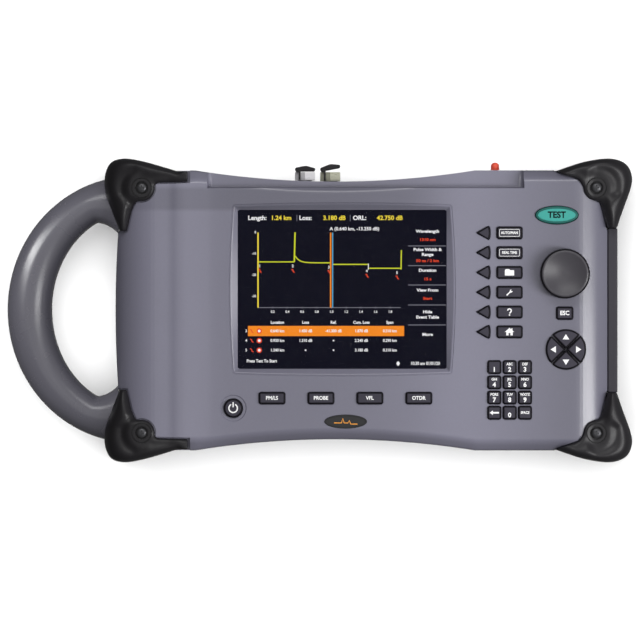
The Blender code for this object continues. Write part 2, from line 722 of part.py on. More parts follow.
def make_vfl_cap():
    """Red push-on cap, a cup over the fault locator's ferrule."""
    base_y = HALF_HEIGHT + GAP
    cap = rod("vfl_cap", VFL_CAP_R, (VFL_X, base_y, PORT_Z), (VFL_X, VFL_CAP_END_Y, PORT_Z),
              "vfl_cap", sides=20)
    bore = rod("vfl_cap_bore", VFL_BORE_R, (VFL_X, base_y - 2.0, PORT_Z),
               (VFL_X, VFL_CAP_END_Y - 1.2, PORT_Z), sides=12)
    return shade_round(cut(cap, bore))


# --- handle, bumpers, screws and guard ------------------------------------------------------------------

def handle_sweep(name, distance, start, end, stations, finish=None):
    """C-shaped grip: an oval section swept round an ellipse, its surface moved out."""
    bm = bmesh.new()
    rings = []
    for i in range(stations + 1):
        angle = math.radians(start + (end - start) * i / stations)
        c, s = math.cos(angle), math.sin(angle)
        outer = Vector((HANDLE_OUTER[0] * c, HANDLE_OUTER[1] * s))
        inner = Vector((HANDLE_INNER[0] * c, HANDLE_INNER[1] * s))
        if abs(inner.x) < HANDLE_ROOT[0]:
            reach = HANDLE_ROOT[1] - ROOT_CURVE * (HANDLE_ROOT[0] - abs(inner.x)) ** 2
            inner.y = math.copysign(min(abs(inner.y), reach), s)
        middle, across = (outer + inner) / 2, (outer - inner) / 2
        across += across.normalized() * distance
        ring = []
        for k in range(16):
            turn = 2.0 * math.pi * k / 16
            u = math.copysign(abs(math.cos(turn)) ** 0.8, math.cos(turn))
            w = math.copysign(abs(math.sin(turn)) ** 0.8, math.sin(turn))
            point = middle + across * u
            ring.append((HANDLE_CENTRE[0] + point.x, HANDLE_CENTRE[1] + point.y,
                         HANDLE_Z + (HANDLE_HALF_DEPTH + distance) * w))
        rings.append(ring)
    loft(bm, rings)
    return add_object(name, bm, finish)


def make_handle(outside):
    handle = handle_sweep("carry_handle", 0.0, 92.0, 268.0, 18, "handle")
    return shade_round(cut(handle, outside))


def left_bumper_outline():
    """Plan of the upper left bumper: outer corner, tip along the side, boss and arm."""
    outer = smooth(LEFT_BUMPER_EDGE)
    boss = arc(SCREW_CENTRES["top_left"], BOSS_R, -115.0, 22.0, 6)
    return [(-85.7, 89.7), *outer, (-124.9, 51.2), (-121.8, 64.0), *boss, (-85.7, 82.9)]


def right_bumper_outline():
    """Plan of the upper right bumper: arm, outer corner, limb along the side and boss."""
    outer = smooth(RIGHT_BUMPER_EDGE)
    boss = arc(SCREW_CENTRES["top_right"], BOSS_R, 178.0, 285.0, 6)
    return [*outer, (166.5, 84.6), *boss, (182.4, 64.0), (185.7, 53.3)]


def bumper_profile():
    """Top surface of the bumpers along X, over the front casing's own surface."""
    left = [(-103.0 - 38.0 * math.sin(a), 73.6 - 15.0 * (1.0 - math.cos(a)))
            for a in (math.radians(75.0 - 15.0 * i) for i in range(6))]
    right = [(165.0 + 38.0 * math.sin(a), 72.4 - 12.0 * (1.0 - math.cos(a)))
             for a in (math.radians(15.0 * i) for i in range(6))]
    return [*left, (RIDGE_X, RIDGE_Z + BUMPER_LIFT), (PANEL_START_X, PANEL_Z + BUMPER_LIFT),
            *right]


def make_bumper(name, corner, outline, outside, handle_space, top_prism):
    """Rubber bumper wrapped round one corner, hollowed by the casing that it fits."""
    bm = bmesh.new()
    stack(bm, (grow(outline, -1.2), 0.0), (outline, 1.8), (outline, 90.0))
    bumper = add_object(name, bm, "bumper")
    combine(bumper, top_prism, "INTERSECT")
    cut(bumper, outside)
    if "left" in name:
        cut(bumper, handle_space)
    x, y = corner
    seat = front_z(x) + SCREW_SEAT
    cut(bumper, rod(name + "_recess", SCREW_RECESS_R, (x, y, seat), (x, y, 90.0), sides=20),
        rod(name + "_hole", SCREW_HOLE_R, (x, y, 50.0), (x, y, 90.0), sides=12))
    return bumper


def make_screw(name, corner):
    """Pan-head screw from the bumper down into the rear casing's post."""
    x, y = corner
    seat = front_z(x) + SCREW_SEAT + GAP
    profile = [(0.0, seat + 2.0), (SCREW_HEAD_R - 0.7, seat + 1.9), (SCREW_HEAD_R, seat + 1.2),
               (SCREW_HEAD_R, seat), (SCREW_SHANK_R, seat), (SCREW_SHANK_R, SCREW_END_Z),
               (0.0, SCREW_END_Z)]
    return turned(name, profile, (x, y, seat), "screw", steps=16)


def make_guard():
    """Flat strip along the right side, between the two right bumpers."""
    guard = box("side_guard", (GUARD_X[0], -GUARD_HALF_Y, GUARD_Z[0]),
                (GUARD_X[1], GUARD_HALF_Y, GUARD_Z[1]), "guard")
    bevel = guard.modifiers.new("edges", "BEVEL")
    bevel.width = 1.5 * MM
    bevel.segments = 2
    bevel.limit_method = "ANGLE"
    return guard


# --- casings ------------------------------------------------------------------

def wall_openings():
    """Round openings: screws from the front, ports and ferrule through the connector wall."""
    bm = bmesh.new()
    for x, y in SCREW_CENTRES.values():
        add_rod(bm, 2.0, (x, y, SEAM_Z + 5.0), (x, y, 90.0), 12)
    for x in PORT_CENTRES.values():
        add_rod(bm, PORT_NECK_R + 0.5, (x, 70.0, PORT_Z), (x, 95.0, PORT_Z), 20)
    add_rod(bm, 1.9, (VFL_X, 80.0, PORT_Z), (VFL_X, 95.0, PORT_Z), 12)
    add_rod(bm, KNOB_SHAFT_R + 0.6, (*KNOB_CENTRE, 60.0), (*KNOB_CENTRE, 80.0), 20)
    return add_object("wall_openings", bm, None)


def make_front_casing(key_openings):
    """Front shell with the screen, key, knob, port and screw openings, and the bay."""
    casing = casing_half("front_casing", SEAM_Z + GAP, PANEL_Z)
    combine(casing, profile_prism("front_surface", front_profile()), "INTERSECT")
    hollow = envelope("front_hollow", -WALL)
    bay_backing = box("bay_backing", (BAY_X[0] - WALL, BAY_Y - WALL, BAY_Z - WALL),
                      (BAY_X[1] + WALL, 120.0, 90.0))
    cut(hollow, bay_backing)
    bay = box("connector_bay", (BAY_X[0], BAY_Y, BAY_Z), (BAY_X[1], 120.0, 90.0))
    return cut(casing, hollow, bay, screen_cutter(), key_openings, wall_openings())


def make_rear_casing():
    """Rear shell with the screw posts and the stepped opening of the battery door."""
    casing = casing_half("rear_casing", REAR_Z - 1.0, SEAM_Z)
    cut(casing, envelope("rear_hollow", -WALL))
    for name, (x, y) in SCREW_CENTRES.items():
        post = rod(f"post_{name}", SCREW_POST_R, (x, y, REAR_Z + 1.5), (x, y, SEAM_Z - 0.5))
        combine(casing, post, "UNION")
    bm = bmesh.new()
    for x, y in SCREW_CENTRES.values():
        add_rod(bm, 1.8, (x, y, 20.0), (x, y, SEAM_Z + 5.0), 12)
    holes = add_object("post_holes", bm, None)
    recess = prism("door_recess", rounded_rectangle(DOOR_SIZE, 5.0, 3), -5.0,
                   REAR_Z + DOOR_THICKNESS + GAP)
    inner = [s - 2 * DOOR_LEDGE for s in DOOR_SIZE]
    through = prism("door_opening", rounded_rectangle(inner, 4.0, 3), -5.0, REAR_Z + WALL + 5.0)
    return cut(casing, holes, recess, through)


def build():
    """Make every piece of the instrument."""
    key_openings = make_keys()
    make_front_casing(key_openings)
    make_rear_casing()
    outside = envelope("casing_outside", GAP)
    handle_space = handle_sweep("handle_space", 0.5, 80.0, 280.0, 20)
    make_handle(outside)
    top_prism = profile_prism("bumper_top", bumper_profile())
    for name, corner in SCREW_CENTRES.items():
        outline = left_bumper_outline() if "left" in name else right_bumper_outline()
        if "bottom" in name:
            outline = mirror_y(outline)
        make_bumper(f"bumper_{name}", corner, outline, outside, handle_space, top_prism)
        make_screw(f"screw_{name}", corner)
    make_guard()
    make_knob()
    make_screen()
    make_board()
    make_mat()
    make_power()
    make_optics()
    for letter, x in PORT_CENTRES.items():
        make_port(letter, x)
    make_cap("a", PORT_CENTRES["a"], 0.0)
    make_cap("b", PORT_CENTRES["b"], CAP_B_REST)
    make_vfl_cap()


clear_scene()
PARTS = new_collection("optical_reflectometer")
CUTTERS = new_collection("cutters")
build()
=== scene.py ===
import json
import math

import bmesh
import bpy
from mathutils import Matrix, Vector

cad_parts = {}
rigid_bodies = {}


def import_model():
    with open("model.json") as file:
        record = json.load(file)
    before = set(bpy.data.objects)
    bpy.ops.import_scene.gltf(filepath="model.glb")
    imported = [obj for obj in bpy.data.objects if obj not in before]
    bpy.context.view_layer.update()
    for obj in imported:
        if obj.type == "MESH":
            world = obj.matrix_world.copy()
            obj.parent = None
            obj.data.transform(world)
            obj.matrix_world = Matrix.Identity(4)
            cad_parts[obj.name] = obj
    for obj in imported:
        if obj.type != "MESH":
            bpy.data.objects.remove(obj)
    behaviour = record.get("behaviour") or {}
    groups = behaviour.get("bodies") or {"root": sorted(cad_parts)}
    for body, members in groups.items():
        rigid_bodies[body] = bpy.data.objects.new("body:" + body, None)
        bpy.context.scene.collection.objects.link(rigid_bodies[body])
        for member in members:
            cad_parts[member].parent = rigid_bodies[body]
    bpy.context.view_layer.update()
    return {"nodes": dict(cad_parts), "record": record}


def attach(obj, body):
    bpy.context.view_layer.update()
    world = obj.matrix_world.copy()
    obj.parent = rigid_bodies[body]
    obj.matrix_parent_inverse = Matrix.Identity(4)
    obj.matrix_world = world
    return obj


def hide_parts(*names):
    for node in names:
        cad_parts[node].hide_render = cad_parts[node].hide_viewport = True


# Looks of the hand-held optical time-domain reflectometer.  The instrument lies on its back: X runs
# from the handle to the key side, Y to the connector edge, Z out of the screen.  Sizes are in
# millimetres, as in the CAD source, and meshes are written in metres.

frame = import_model()
BODY_OF = {node: body for body, nodes in frame["record"]["behaviour"]["bodies"].items()
           for node in nodes}
FIXED = "instrument"
MM = 0.001

# Casing, as in the CAD source
LEFT_X, RIGHT_X = -132.4, 185.3
HALF_HEIGHT = 90.4
WAIST_X, WAIST_HALF, WAIST_DEPTH = 9.5, 90.3, 7.2
LEFT_BOW, BOW_HALF = 2.0, 52.0
LEFT_CORNER_R, RIGHT_CORNER_R = 14.0, 11.0
WALL = 2.8
REAR_Z, REAR_CHAMFER = 3.3, 4.5
SEAM_Z = 36.0
SHOULDER_Z, PANEL_Z = 64.0, 70.0
EDGE_SLOPE = 8.0 / 7.3
GRIP_Z, GRIP_DROP, GRIP_FLAT_X = 71.0, 21.0, (-103.0, -99.0)
RIDGE_X, RIDGE_Z = -90.5, 72.2
PANEL_START_X, ROLL_START_X, ROLL_DROP = -69.5, 165.0, 10.0
GAP = 0.3

# Screen, bay, ports
SCREEN_CENTRE = (14.1, 13.6)
SCREEN_SIZE = (134.7, 102.5)
BEZEL_MARGIN, BEZEL_BOW = 3.0, (2.4, 1.4)
LCD_TOP_Z = 64.6
BAY_X, BAY_Y, BAY_Z = (-72.7, 131.2), 79.2, 62.0
PORT_CENTRES = {"a": -9.9, "b": 6.4}
PORT_Z, PORT_SIZE, PORT_END_Y = 48.0, 13.0, 89.4
CAP_PIVOT, STRAP_X = (-5.2, 91.1), -3.5
CAP_REST = {"a": 0.0, "b": 11.0}
VFL_X, VFL_CAP_R, VFL_CAP_END_Y = 113.0, 2.8, 95.6

# Keys
KEY_TOP_Z, KEY_BASE_Z, FLANGE_TOP_Z, KEY_FLANGE = 71.8, 63.6, 65.8, 0.6
KNOB_CENTRE, KNOB_R, KNOB_BASE_Z, KNOB_TOP_Z = (157.8, 23.7), 16.2, 70.4, 81.0
DPAD_CENTRE, DPAD_R, DPAD_GAP = (158.4, -25.2), 12.8, 1.1

# Handle, bumpers, guard
HANDLE_CENTRE = (-120.6, 0.6)
HANDLE_OUTER, HANDLE_INNER = (81.9, 86.4), (53.0, 62.6)
HANDLE_ROOT, ROOT_CURVE = (24.1, 56.0), 0.035
HANDLE_Z, HANDLE_HALF_DEPTH, HANDLE_ROUNDNESS = 38.0, 13.5, 0.97
SCREW_CENTRES = {"top_left": (-115.3, 79.0), "bottom_left": (-115.3, -79.0),
                 "top_right": (178.2, 79.2), "bottom_right": (178.2, -79.2)}
BOSS_R, SCREW_SEAT = 8.6, 1.7
GUARD_X, GUARD_HALF_Y, GUARD_Z = (185.6, 191.3), 52.9, (15.0, 58.0)
DOOR_SIZE, DOOR_THICKNESS = (124.0, 94.0), 1.5


# Materials

def add_node(tree, kind, inputs=(), **settings):
    """Shader node with its settings; each input takes a value, or a socket that feeds it."""
    node = tree.nodes.new("ShaderNode" + kind)
    for name, value in settings.items():
        setattr(node, name, value)
    for name, value in dict(inputs).items():
        if isinstance(value, bpy.types.NodeSocket):
            tree.links.new(value, node.inputs[name])
        else:
            node.inputs[name].default_value = value
    return node


def object_place(tree):
    return tree.nodes["Texture Coordinate"].outputs["Object"]


def surface(name, colour, roughness, metallic=0.0, spread=0.05, grain=1600.0, bump=0.12,
            scuff=0.05, stretch=(1.0, 1.0, 1.0), specular=0.5):
    """Principled material with a moulded grain, slow colour drift and scuffs in its roughness."""
    material = bpy.data.materials.new(name)
    material.use_nodes = True
    tree = material.node_tree
    shader = tree.nodes["Principled BSDF"]
    shader.inputs["Metallic"].default_value = metallic
    shader.inputs["Specular IOR Level"].default_value = specular
    add_node(tree, "TexCoord")
    place = add_node(tree, "Mapping", {"Scale": stretch, "Vector": object_place(tree)}).outputs[0]

    def noise(scale, detail):
        inputs = {"Scale": scale, "Detail": detail, "Vector": place}
        return add_node(tree, "TexNoise", inputs).outputs["Fac"]

    def spread_over(value, low, high):
        inputs = {"From Min": 0.3, "From Max": 0.7, "To Min": low, "To Max": high, "Value": value}
        return add_node(tree, "MapRange", inputs).outputs["Result"]

    drift = add_node(tree, "Math", {0: noise(22.0, 3.0), 1: 0.6}, operation="MULTIPLY")
    both = add_node(tree, "Math", {0: noise(grain * 0.4, 2.0), 1: 0.4, 2: drift.outputs[0]},
                    operation="MULTIPLY_ADD")
    dark, light = ((*[min(c * tone, 1.0) for c in colour], 1.0)
                   for tone in (1.0 - spread, 1.0 + spread))
    mix = add_node(tree, "Mix", {"A": dark, "B": light,
                                 "Factor": spread_over(both.outputs[0], 0.0, 1.0)},
                   data_type="RGBA")
    tree.links.new(mix.outputs["Result"], shader.inputs["Base Color"])
    tree.links.new(spread_over(noise(60.0, 6.0), roughness - scuff, roughness + scuff),
                   shader.inputs["Roughness"])
    if bump:
        relief = add_node(tree, "Bump", {"Strength": bump, "Distance": 0.0001,
                                         "Height": noise(grain, 2.0)})
        tree.links.new(relief.outputs["Normal"], shader.inputs["Normal"])
    return material


def multiply_tone(tree, tone):
    """Multiply a material's colour by a factor."""
    target = tree.nodes["Principled BSDF"].inputs["Base Color"]
    mix = add_node(tree, "Mix", {"A": target.links[0].from_socket, "B": tone, "Factor": 1.0},
                   data_type="RGBA", blend_type="MULTIPLY")
    tree.links.new(mix.outputs["Result"], target)


def shade_along(material, stops):
    """Painted light and shade: a moulded part's colour slowly made lighter or darker along X, as
    (place, factor) pairs.
    """
    tree = material.node_tree
    start, end = stops[0][0], stops[-1][0]
    split = add_node(tree, "SeparateXYZ", {"Vector": object_place(tree)})
    place = add_node(tree, "MapRange", {"From Min": start * MM, "From Max": end * MM,
                                        "Value": split.outputs["X"]})
    ramp = add_node(tree, "ValToRGB", {"Fac": place.outputs["Result"]})
    ramp.color_ramp.interpolation = "B_SPLINE"
    elements = ramp.color_ramp.elements
    for at, factor in stops[1:-1]:
        elements.new((at - start) / (end - start)).color = (factor, factor, factor, 1.0)
    for element, (_, factor) in ((elements[0], stops[0]), (elements[-1], stops[-1])):
        element.color = (factor, factor, factor, 1.0)
    multiply_tone(tree, ramp.outputs["Color"])


def shade_patch(material, centre, reach, factor):
    """Painted shade: a moulded part's colour made deeper over a soft-edged rectangle in X and Y."""
    tree = material.node_tree
    place = add_node(tree, "Mapping", {
        "Location": (-centre[0] / reach[0], -centre[1] / reach[1], 0.0),
        "Scale": (1.0 / (reach[0] * MM), 1.0 / (reach[1] * MM), 0.0),
        "Vector": object_place(tree)})
    split = add_node(tree, "SeparateXYZ", {"Vector": place.outputs["Vector"]})
    inside = {}
    for k, axis in enumerate("XY"):
        size = add_node(tree, "Math", {0: split.outputs[axis]}, operation="ABSOLUTE")
        edge = add_node(tree, "MapRange", {"From Min": 0.6, "To Min": 1.0, "To Max": 0.0,
                                           "Value": size.outputs[0]},
                        interpolation_type="SMOOTHSTEP")
        inside[k] = edge.outputs["Result"]
    both = add_node(tree, "Math", inside, operation="MULTIPLY")
    tone = add_node(tree, "MapRange", {"To Min": 1.0, "To Max": factor, "Value": both.outputs[0]})
    multiply_tone(tree, tone.outputs["Result"])


def glow(name, colour):
    """Lit picture element of the display, with the unevenness of its back light."""
    material = surface(name, (0.003, 0.003, 0.004), 0.4, bump=0.0, specular=0.0)
    tree = material.node_tree
    shader = tree.nodes["Principled BSDF"]
    shader.inputs["Emission Strength"].default_value = 1.0
    uneven = add_node(tree, "TexNoise", {"Scale": 700.0, "Vector": object_place(tree)})
    mix = add_node(tree, "Mix", {"A": (*[c * 0.9 for c in colour], 1.0), "B": (*colour, 1.0),
                                 "Factor": uneven.outputs["Fac"]}, data_type="RGBA")
    tree.links.new(mix.outputs["Result"], shader.inputs["Emission Color"])
    return material


CASING = surface("casing_plastic", (0.212, 0.207, 0.268), 0.27, spread=0.03, bump=0.08, scuff=0.0)
HANDLE = surface("handle_plastic", (0.076, 0.074, 0.090), 0.27, bump=0.10, scuff=0.01)
# Painted light and shade: the casing's colour made lighter and darker along X, following how light
# falls across the panel.
shade_along(CASING, ((-140.0, 0.90), (-85.0, 0.97), (-60.0, 0.80), (10.0, 0.74), (60.0, 0.86),
                     (92.0, 1.0), (115.0, 0.90), (145.0, 0.70), (165.0, 0.60), (190.0, 0.68)))
# Painted shade: the casing darker in a soft band along its top, above the screen.
shade_patch(CASING, (-22.0, 72.0), (118.0, 9.0), 0.76)
RUBBER = surface("bumper_rubber", (0.0130, 0.0120, 0.0140), 0.40, spread=0.12, grain=1200.0,
                 specular=0.26)
STRIP = surface("guard_rubber", (0.036, 0.034, 0.042), 0.5, spread=0.08, bump=0.15, specular=0.2)
SCREW = surface("screw_steel", (0.06, 0.06, 0.065), 0.4, metallic=0.7, bump=0.05)
BOARD = surface("circuit_board", (0.015, 0.10, 0.045), 0.45, spread=0.2, bump=0.1)
MAT = surface("silicone_mat", (0.12, 0.12, 0.13), 0.75, bump=0.1)
BATTERY = surface("battery_wrap", (0.045, 0.06, 0.17), 0.45, bump=0.05)
SHIELD = surface("module_shield", (0.55, 0.55, 0.57), 0.32, metallic=1.0, bump=0.08)
PORT_METALS = {letter: surface(name, colour, 0.3, metallic=0.35, bump=0.05, stretch=(1.0, 9.0, 1.0))
               for letter, name, colour in (("a", "port_nickel", (0.66, 0.65, 0.67)),
                                            ("b", "port_nickel_warm", (0.42, 0.42, 0.33)))}
CERAMIC = surface("ferrule_ceramic", (0.85, 0.84, 0.8), 0.25, bump=0.02)
CAP = surface("dust_cap_rubber", (0.014, 0.013, 0.015), 0.5, specular=0.2)
RED = surface("red_cap", (1.0, 0.11, 0.06), 0.35, spread=0.06, bump=0.04)
KNOB = surface("knob_rubber", (0.050, 0.047, 0.055), 0.36, spread=0.06, bump=0.10, specular=0.35)
# The knob's near-black skirt is partly its own dark rubber and partly painted shade for its shaded
# side.
KNOB_SKIRT_AND_SHADE = surface("knob_skirt_painted_shade", (0.007, 0.006, 0.008), 0.5, spread=0.1, specular=0.15)
# The keys' near-black skirts are partly their own dark rubber and partly painted shade for the gap
# round each key.
KEY_FACE = surface("key_rubber", (0.042, 0.039, 0.054), 0.5, spread=0.1, specular=0.2)
KEY_SKIRT_AND_SHADE = surface("key_skirt", (0.006, 0.005, 0.008), 0.5, spread=0.15, bump=0.1, specular=0.12)
TEAL = surface("test_key_rubber", (0.040, 0.330, 0.285), 0.4, bump=0.08, specular=0.3)
TEAL_SKIRT_AND_SHADE = surface("test_key_skirt", (0.006, 0.10, 0.085), 0.45, spread=0.08, bump=0.08, specular=0.3)
PRINT = surface("white_print", (0.9, 0.9, 0.9), 0.6, spread=0.04, bump=0.05)
DARK_PRINT = surface("dark_print", (0.004, 0.012, 0.012), 0.6, spread=0.1, bump=0.05, specular=0.1)
AMBER_PRINT = surface("amber_print", (0.85, 0.33, 0.03), 0.5, spread=0.08, bump=0.05)
BADGE = surface("badge_enamel", (0.006, 0.006, 0.007), 0.3, spread=0.1, bump=0.03)
LCD_DARK = glow("lcd_dark", (0.0055, 0.0055, 0.012))
INKS = {name: glow("lcd_" + name, colour) for name, colour in (
    ("white", (0.95, 0.95, 0.97)), ("grey", (0.20, 0.20, 0.24)), ("yellow", (0.95, 0.75, 0.06)),
    ("lime", (0.62, 0.68, 0.03)), ("orange", (0.95, 0.27, 0.02)), ("red", (0.85, 0.07, 0.025)),
    ("blue", (0.12, 0.42, 0.75)))}


def glass():
    """Clear window with a hard coat: faint dust in its roughness, no tint."""
    material = surface("window_glass", (1.0, 1.0, 1.0), 0.03, spread=0.0, bump=0.0, scuff=0.015,
                       specular=0.3)
    shader = material.node_tree.nodes["Principled BSDF"]
    shader.inputs["Transmission Weight"].default_value = 1.0
    shader.inputs["IOR"].default_value = 1.3
    return material


# Making pieces

def make_object(name, bm):
    """Object from a bmesh in millimetres, its origin at the frame's origin."""
    bm.transform(Matrix.Scale(MM, 4))
    bmesh.ops.recalc_face_normals(bm, faces=bm.faces)
    mesh = bpy.data.meshes.new(name)
    bm.to_mesh(mesh)
    bm.free()
    obj = bpy.data.objects.new(name, mesh)
    bpy.context.scene.collection.objects.link(obj)
    return obj


def bake(obj):
    """Apply an object's modifiers."""
    graph = bpy.context.evaluated_depsgraph_get()
    mesh = bpy.data.meshes.new_from_object(obj.evaluated_get(graph))
    obj.modifiers.clear()
    obj.data = mesh
    return obj


def carve(obj, *others, operation="DIFFERENCE", solver="MANIFOLD"):
    """Cut other solids out of an object, or join them to it, and remove them."""
    for other in others:
        modifier = obj.modifiers.new("carve", "BOOLEAN")
        modifier.object = other
        modifier.operation = operation
        modifier.solver = solver
    bake(obj)
    for other in others:
        bpy.data.objects.remove(other, do_unlink=True)
    return obj


def piece(obj, body, materials, replaces=(), sharp=35.0):
    """Finish a piece: shading, materials, body and the CAD nodes that it stands for."""
    obj.data.shade_smooth()
    obj.data.set_sharp_from_angle(angle=math.radians(sharp))
    weigh = obj.modifiers.new("weigh", "WEIGHTED_NORMAL")
    weigh.keep_sharp = True
    bake(obj)
    while len(obj.data.materials) < len(materials):
        obj.data.materials.append(None)
    for index, material in enumerate(materials):
        obj.data.materials[index] = material
    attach(obj, body)
    if replaces:
        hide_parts(*replaces)
    return obj


# Outlines

def arc(centre, radius, start, end, steps):
    angles = [math.radians(start + (end - start) * i / steps) for i in range(steps + 1)]
    return [(centre[0] + radius * math.cos(a), centre[1] + radius * math.sin(a)) for a in angles]


def ellipse(size, count):
    turns = [2.0 * math.pi * i / count for i in range(count)]
    return [(size[0] / 2 * math.cos(a), size[1] / 2 * math.sin(a)) for a in turns]


def rounded_rectangle(size, radius, steps=6):
    x, y = size[0] / 2 - radius, size[1] / 2 - radius
    corners = (((x, y), 0), ((-x, y), 90), ((-x, -y), 180), ((x, -y), 270))
    return [p for centre, angle in corners for p in arc(centre, radius, angle, angle + 90, steps)]


def smooth(points, steps=3):
    """Open Catmull-Rom curve through points."""
    padded = [points[0], *points, points[-1]]
    curve = []
    for p0, p1, p2, p3 in zip(padded, padded[1:], padded[2:], padded[3:]):
        for i in range(steps):
            t = i / steps
            curve.append(tuple(
                0.5 * (2 * b + (c - a) * t + (2 * a - 5 * b + 4 * c - d) * t ** 2
                       + (3 * b - a - 3 * c + d) * t ** 3)
                for a, b, c, d in zip(p0, p1, p2, p3)))
    return [*curve, points[-1]]


def grow(outline, distance):
    """Move a closed counter-clockwise outline outwards along its mitred normals."""
    moved = []
    for i, here in enumerate(outline):
        before = Vector(here) - Vector(outline[i - 1])
        after = Vector(outline[(i + 1) % len(outline)]) - Vector(here)
        n1 = Vector((before.y, -before.x)).normalized()
        n2 = Vector((after.y, -after.x)).normalized()
        mitre = (n1 + n2) / max(1.0 + n1.dot(n2), 0.4)
        moved.append((here[0] + mitre.x * distance, here[1] + mitre.y * distance))
    return moved


def shift(outline, centre):
    return [(x + centre[0], y + centre[1]) for x, y in outline]


def turn(outline, degrees, pivot=(0.0, 0.0)):
    c, s = math.cos(math.radians(degrees)), math.sin(math.radians(degrees))
    return [(pivot[0] + (x - pivot[0]) * c - (y - pivot[1]) * s,
             pivot[1] + (x - pivot[0]) * s + (y - pivot[1]) * c) for x, y in outline]


def mirror_y(outline):
    return [(x, -y) for x, y in reversed(outline)]


def soften(outline, reach, steps=4):
    """Round an outline's corners with short curves that start a given reach from each corner."""
    rounded = []
    for i, here in enumerate(outline):
        here = Vector(here)
        before, after = Vector(outline[i - 1]), Vector(outline[(i + 1) % len(outline)])
        start = here + (before - here).normalized() * min(reach, (before - here).length * 0.45)
        end = here + (after - here).normalized() * min(reach, (after - here).length * 0.45)
        for k in range(steps + 1):
            t = k / steps
            point = start * (1 - t) ** 2 + here * 2 * t * (1 - t) + end * t ** 2
            rounded.append(tuple(point))
    return rounded


# Solids

def loft(bm, rings, material=0, ends=True):
    """Closed solid through rings of equal length; material may be a function of the band."""
    rows = [[bm.verts.new(p) for p in ring] for ring in rings]
    count = len(rings[0])
    for band, (low, high) in enumerate(zip(rows, rows[1:])):
        index = material(band) if callable(material) else material
        for i in range(count):
            j = (i + 1) % count
            bm.faces.new((low[i], low[j], high[j], high[i])).material_index = index
    if ends:
        bm.faces.new(list(reversed(rows[0]))).material_index = 0
        last = material(len(rows) - 1) if callable(material) else material
        bm.faces.new(rows[-1]).material_index = last
    return rows


def stack(bm, *levels, material=0):
    """Solid through levels of (outline, z)."""
    loft(bm, [[(x, y, z) for x, y in outline] for outline, z in levels], material)


def solid(name, *levels, material=0):
    """Object that is one solid through levels of (outline, z)."""
    bm = bmesh.new()
    stack(bm, *levels, material=material)
    return make_object(name, bm)


def hoop(bm, rings):
    """Ring-shaped solid through closed outlines, the last joined to the first."""
    rows = [[bm.verts.new(p) for p in ring] for ring in rings]
    for low, high in zip(rows, [*rows[1:], rows[0]]):
        for i in range(len(low)):
            j = (i + 1) % len(low)
            bm.faces.new((low[i], low[j], high[j], high[i]))


def add_box(bm, low, high, edge=0.0):
    """Box with its vertical edges and its rims rounded by a given amount."""
    size = [b - a for a, b in zip(low, high)]
    centre = [(a + b) / 2 for a, b in zip(low, high)]
    if not edge:
        matrix = Matrix.Translation(centre) @ Matrix.Diagonal((*size, 1.0))
        bmesh.ops.create_cube(bm, size=1.0, matrix=matrix)
        return
    outline = shift(rounded_rectangle(size[:2], edge, 3), centre)
    rims = [(math.sin(a) * edge, math.cos(a) * edge)
            for a in (math.radians(30 * k) for k in range(4))]
    low_levels = [(grow(outline, -(edge - s) * 0.95), low[2] + edge - c) for s, c in rims]
    high_levels = [(grow(outline, -(edge - s) * 0.95), high[2] - edge + c) for s, c in reversed(rims)]
    stack(bm, *low_levels, *high_levels)


def add_rod(bm, radius, start, end, sides=32):
    start, end = Vector(start), Vector(end)
    rotation = (end - start).to_track_quat("Z", "Y").to_matrix().to_4x4()
    bmesh.ops.create_cone(bm, cap_ends=True, segments=sides, radius1=radius, radius2=radius,
                          depth=(end - start).length,
                          matrix=Matrix.Translation((start + end) / 2) @ rotation)


def rod(radius, start, end, sides=32):
    bm = bmesh.new()
    add_rod(bm, radius, start, end, sides)
    return make_object("rod", bm)


def box(name, low, high, edge=0.0):
    bm = bmesh.new()
    add_box(bm, low, high, edge)
    return make_object(name, bm)


def turned(name, profile, centre, sides=64, axis="Z", ripple=None, material=0):
    """Solid of revolution from (radius, height) points, bottom to top, closed at both ends."""
    rings = []
    for radius, height in profile:
        ring = []
        for k in range(sides):
            angle = 2.0 * math.pi * k / sides
            r = radius + (ripple(radius, height, angle) if ripple else 0.0)
            across = (r * math.cos(angle), r * math.sin(angle))
            point = (*across, height) if axis == "Z" else (across[1], height, across[0])
            ring.append(tuple(c + p for c, p in zip(centre, point)))
        rings.append(ring)
    bm = bmesh.new()
    loft(bm, rings, material)
    return make_object(name, bm)


# Casing surfaces

def waist_y(x):
    t = min(abs(x - WAIST_X) / WAIST_HALF, 1.0)
    return HALF_HEIGHT - WAIST_DEPTH * (1.0 - t * t)


def left_x(y):
    return LEFT_X + LEFT_BOW * (y / BOW_HALF) ** 2


def upper_half():
    """Upper half of the casing's plan, from the right side to the left side."""
    corner_y = HALF_HEIGHT - LEFT_CORNER_R
    left_centre = (left_x(corner_y) + LEFT_CORNER_R, corner_y)
    right_centre = (RIGHT_X - RIGHT_CORNER_R, HALF_HEIGHT - RIGHT_CORNER_R)
    right = [(RIGHT_X, right_centre[1] * (i + 0.5) / 8) for i in range(8)]
    count = 120
    step = (right_centre[0] - left_centre[0]) / count
    top = [(right_centre[0] - step * i, waist_y(right_centre[0] - step * i))
           for i in range(1, count)]
    left = [(left_x(y), y) for y in (corner_y * (1.0 - (i + 0.5) / 10) for i in range(10))]
    return [*right, *arc(right_centre, RIGHT_CORNER_R, 0, 90, 12), *top,
            *arc(left_centre, LEFT_CORNER_R, 90, 180, 12), *left]


def casing_outline():
    half = upper_half()
    return [*half, *mirror_y(half)]


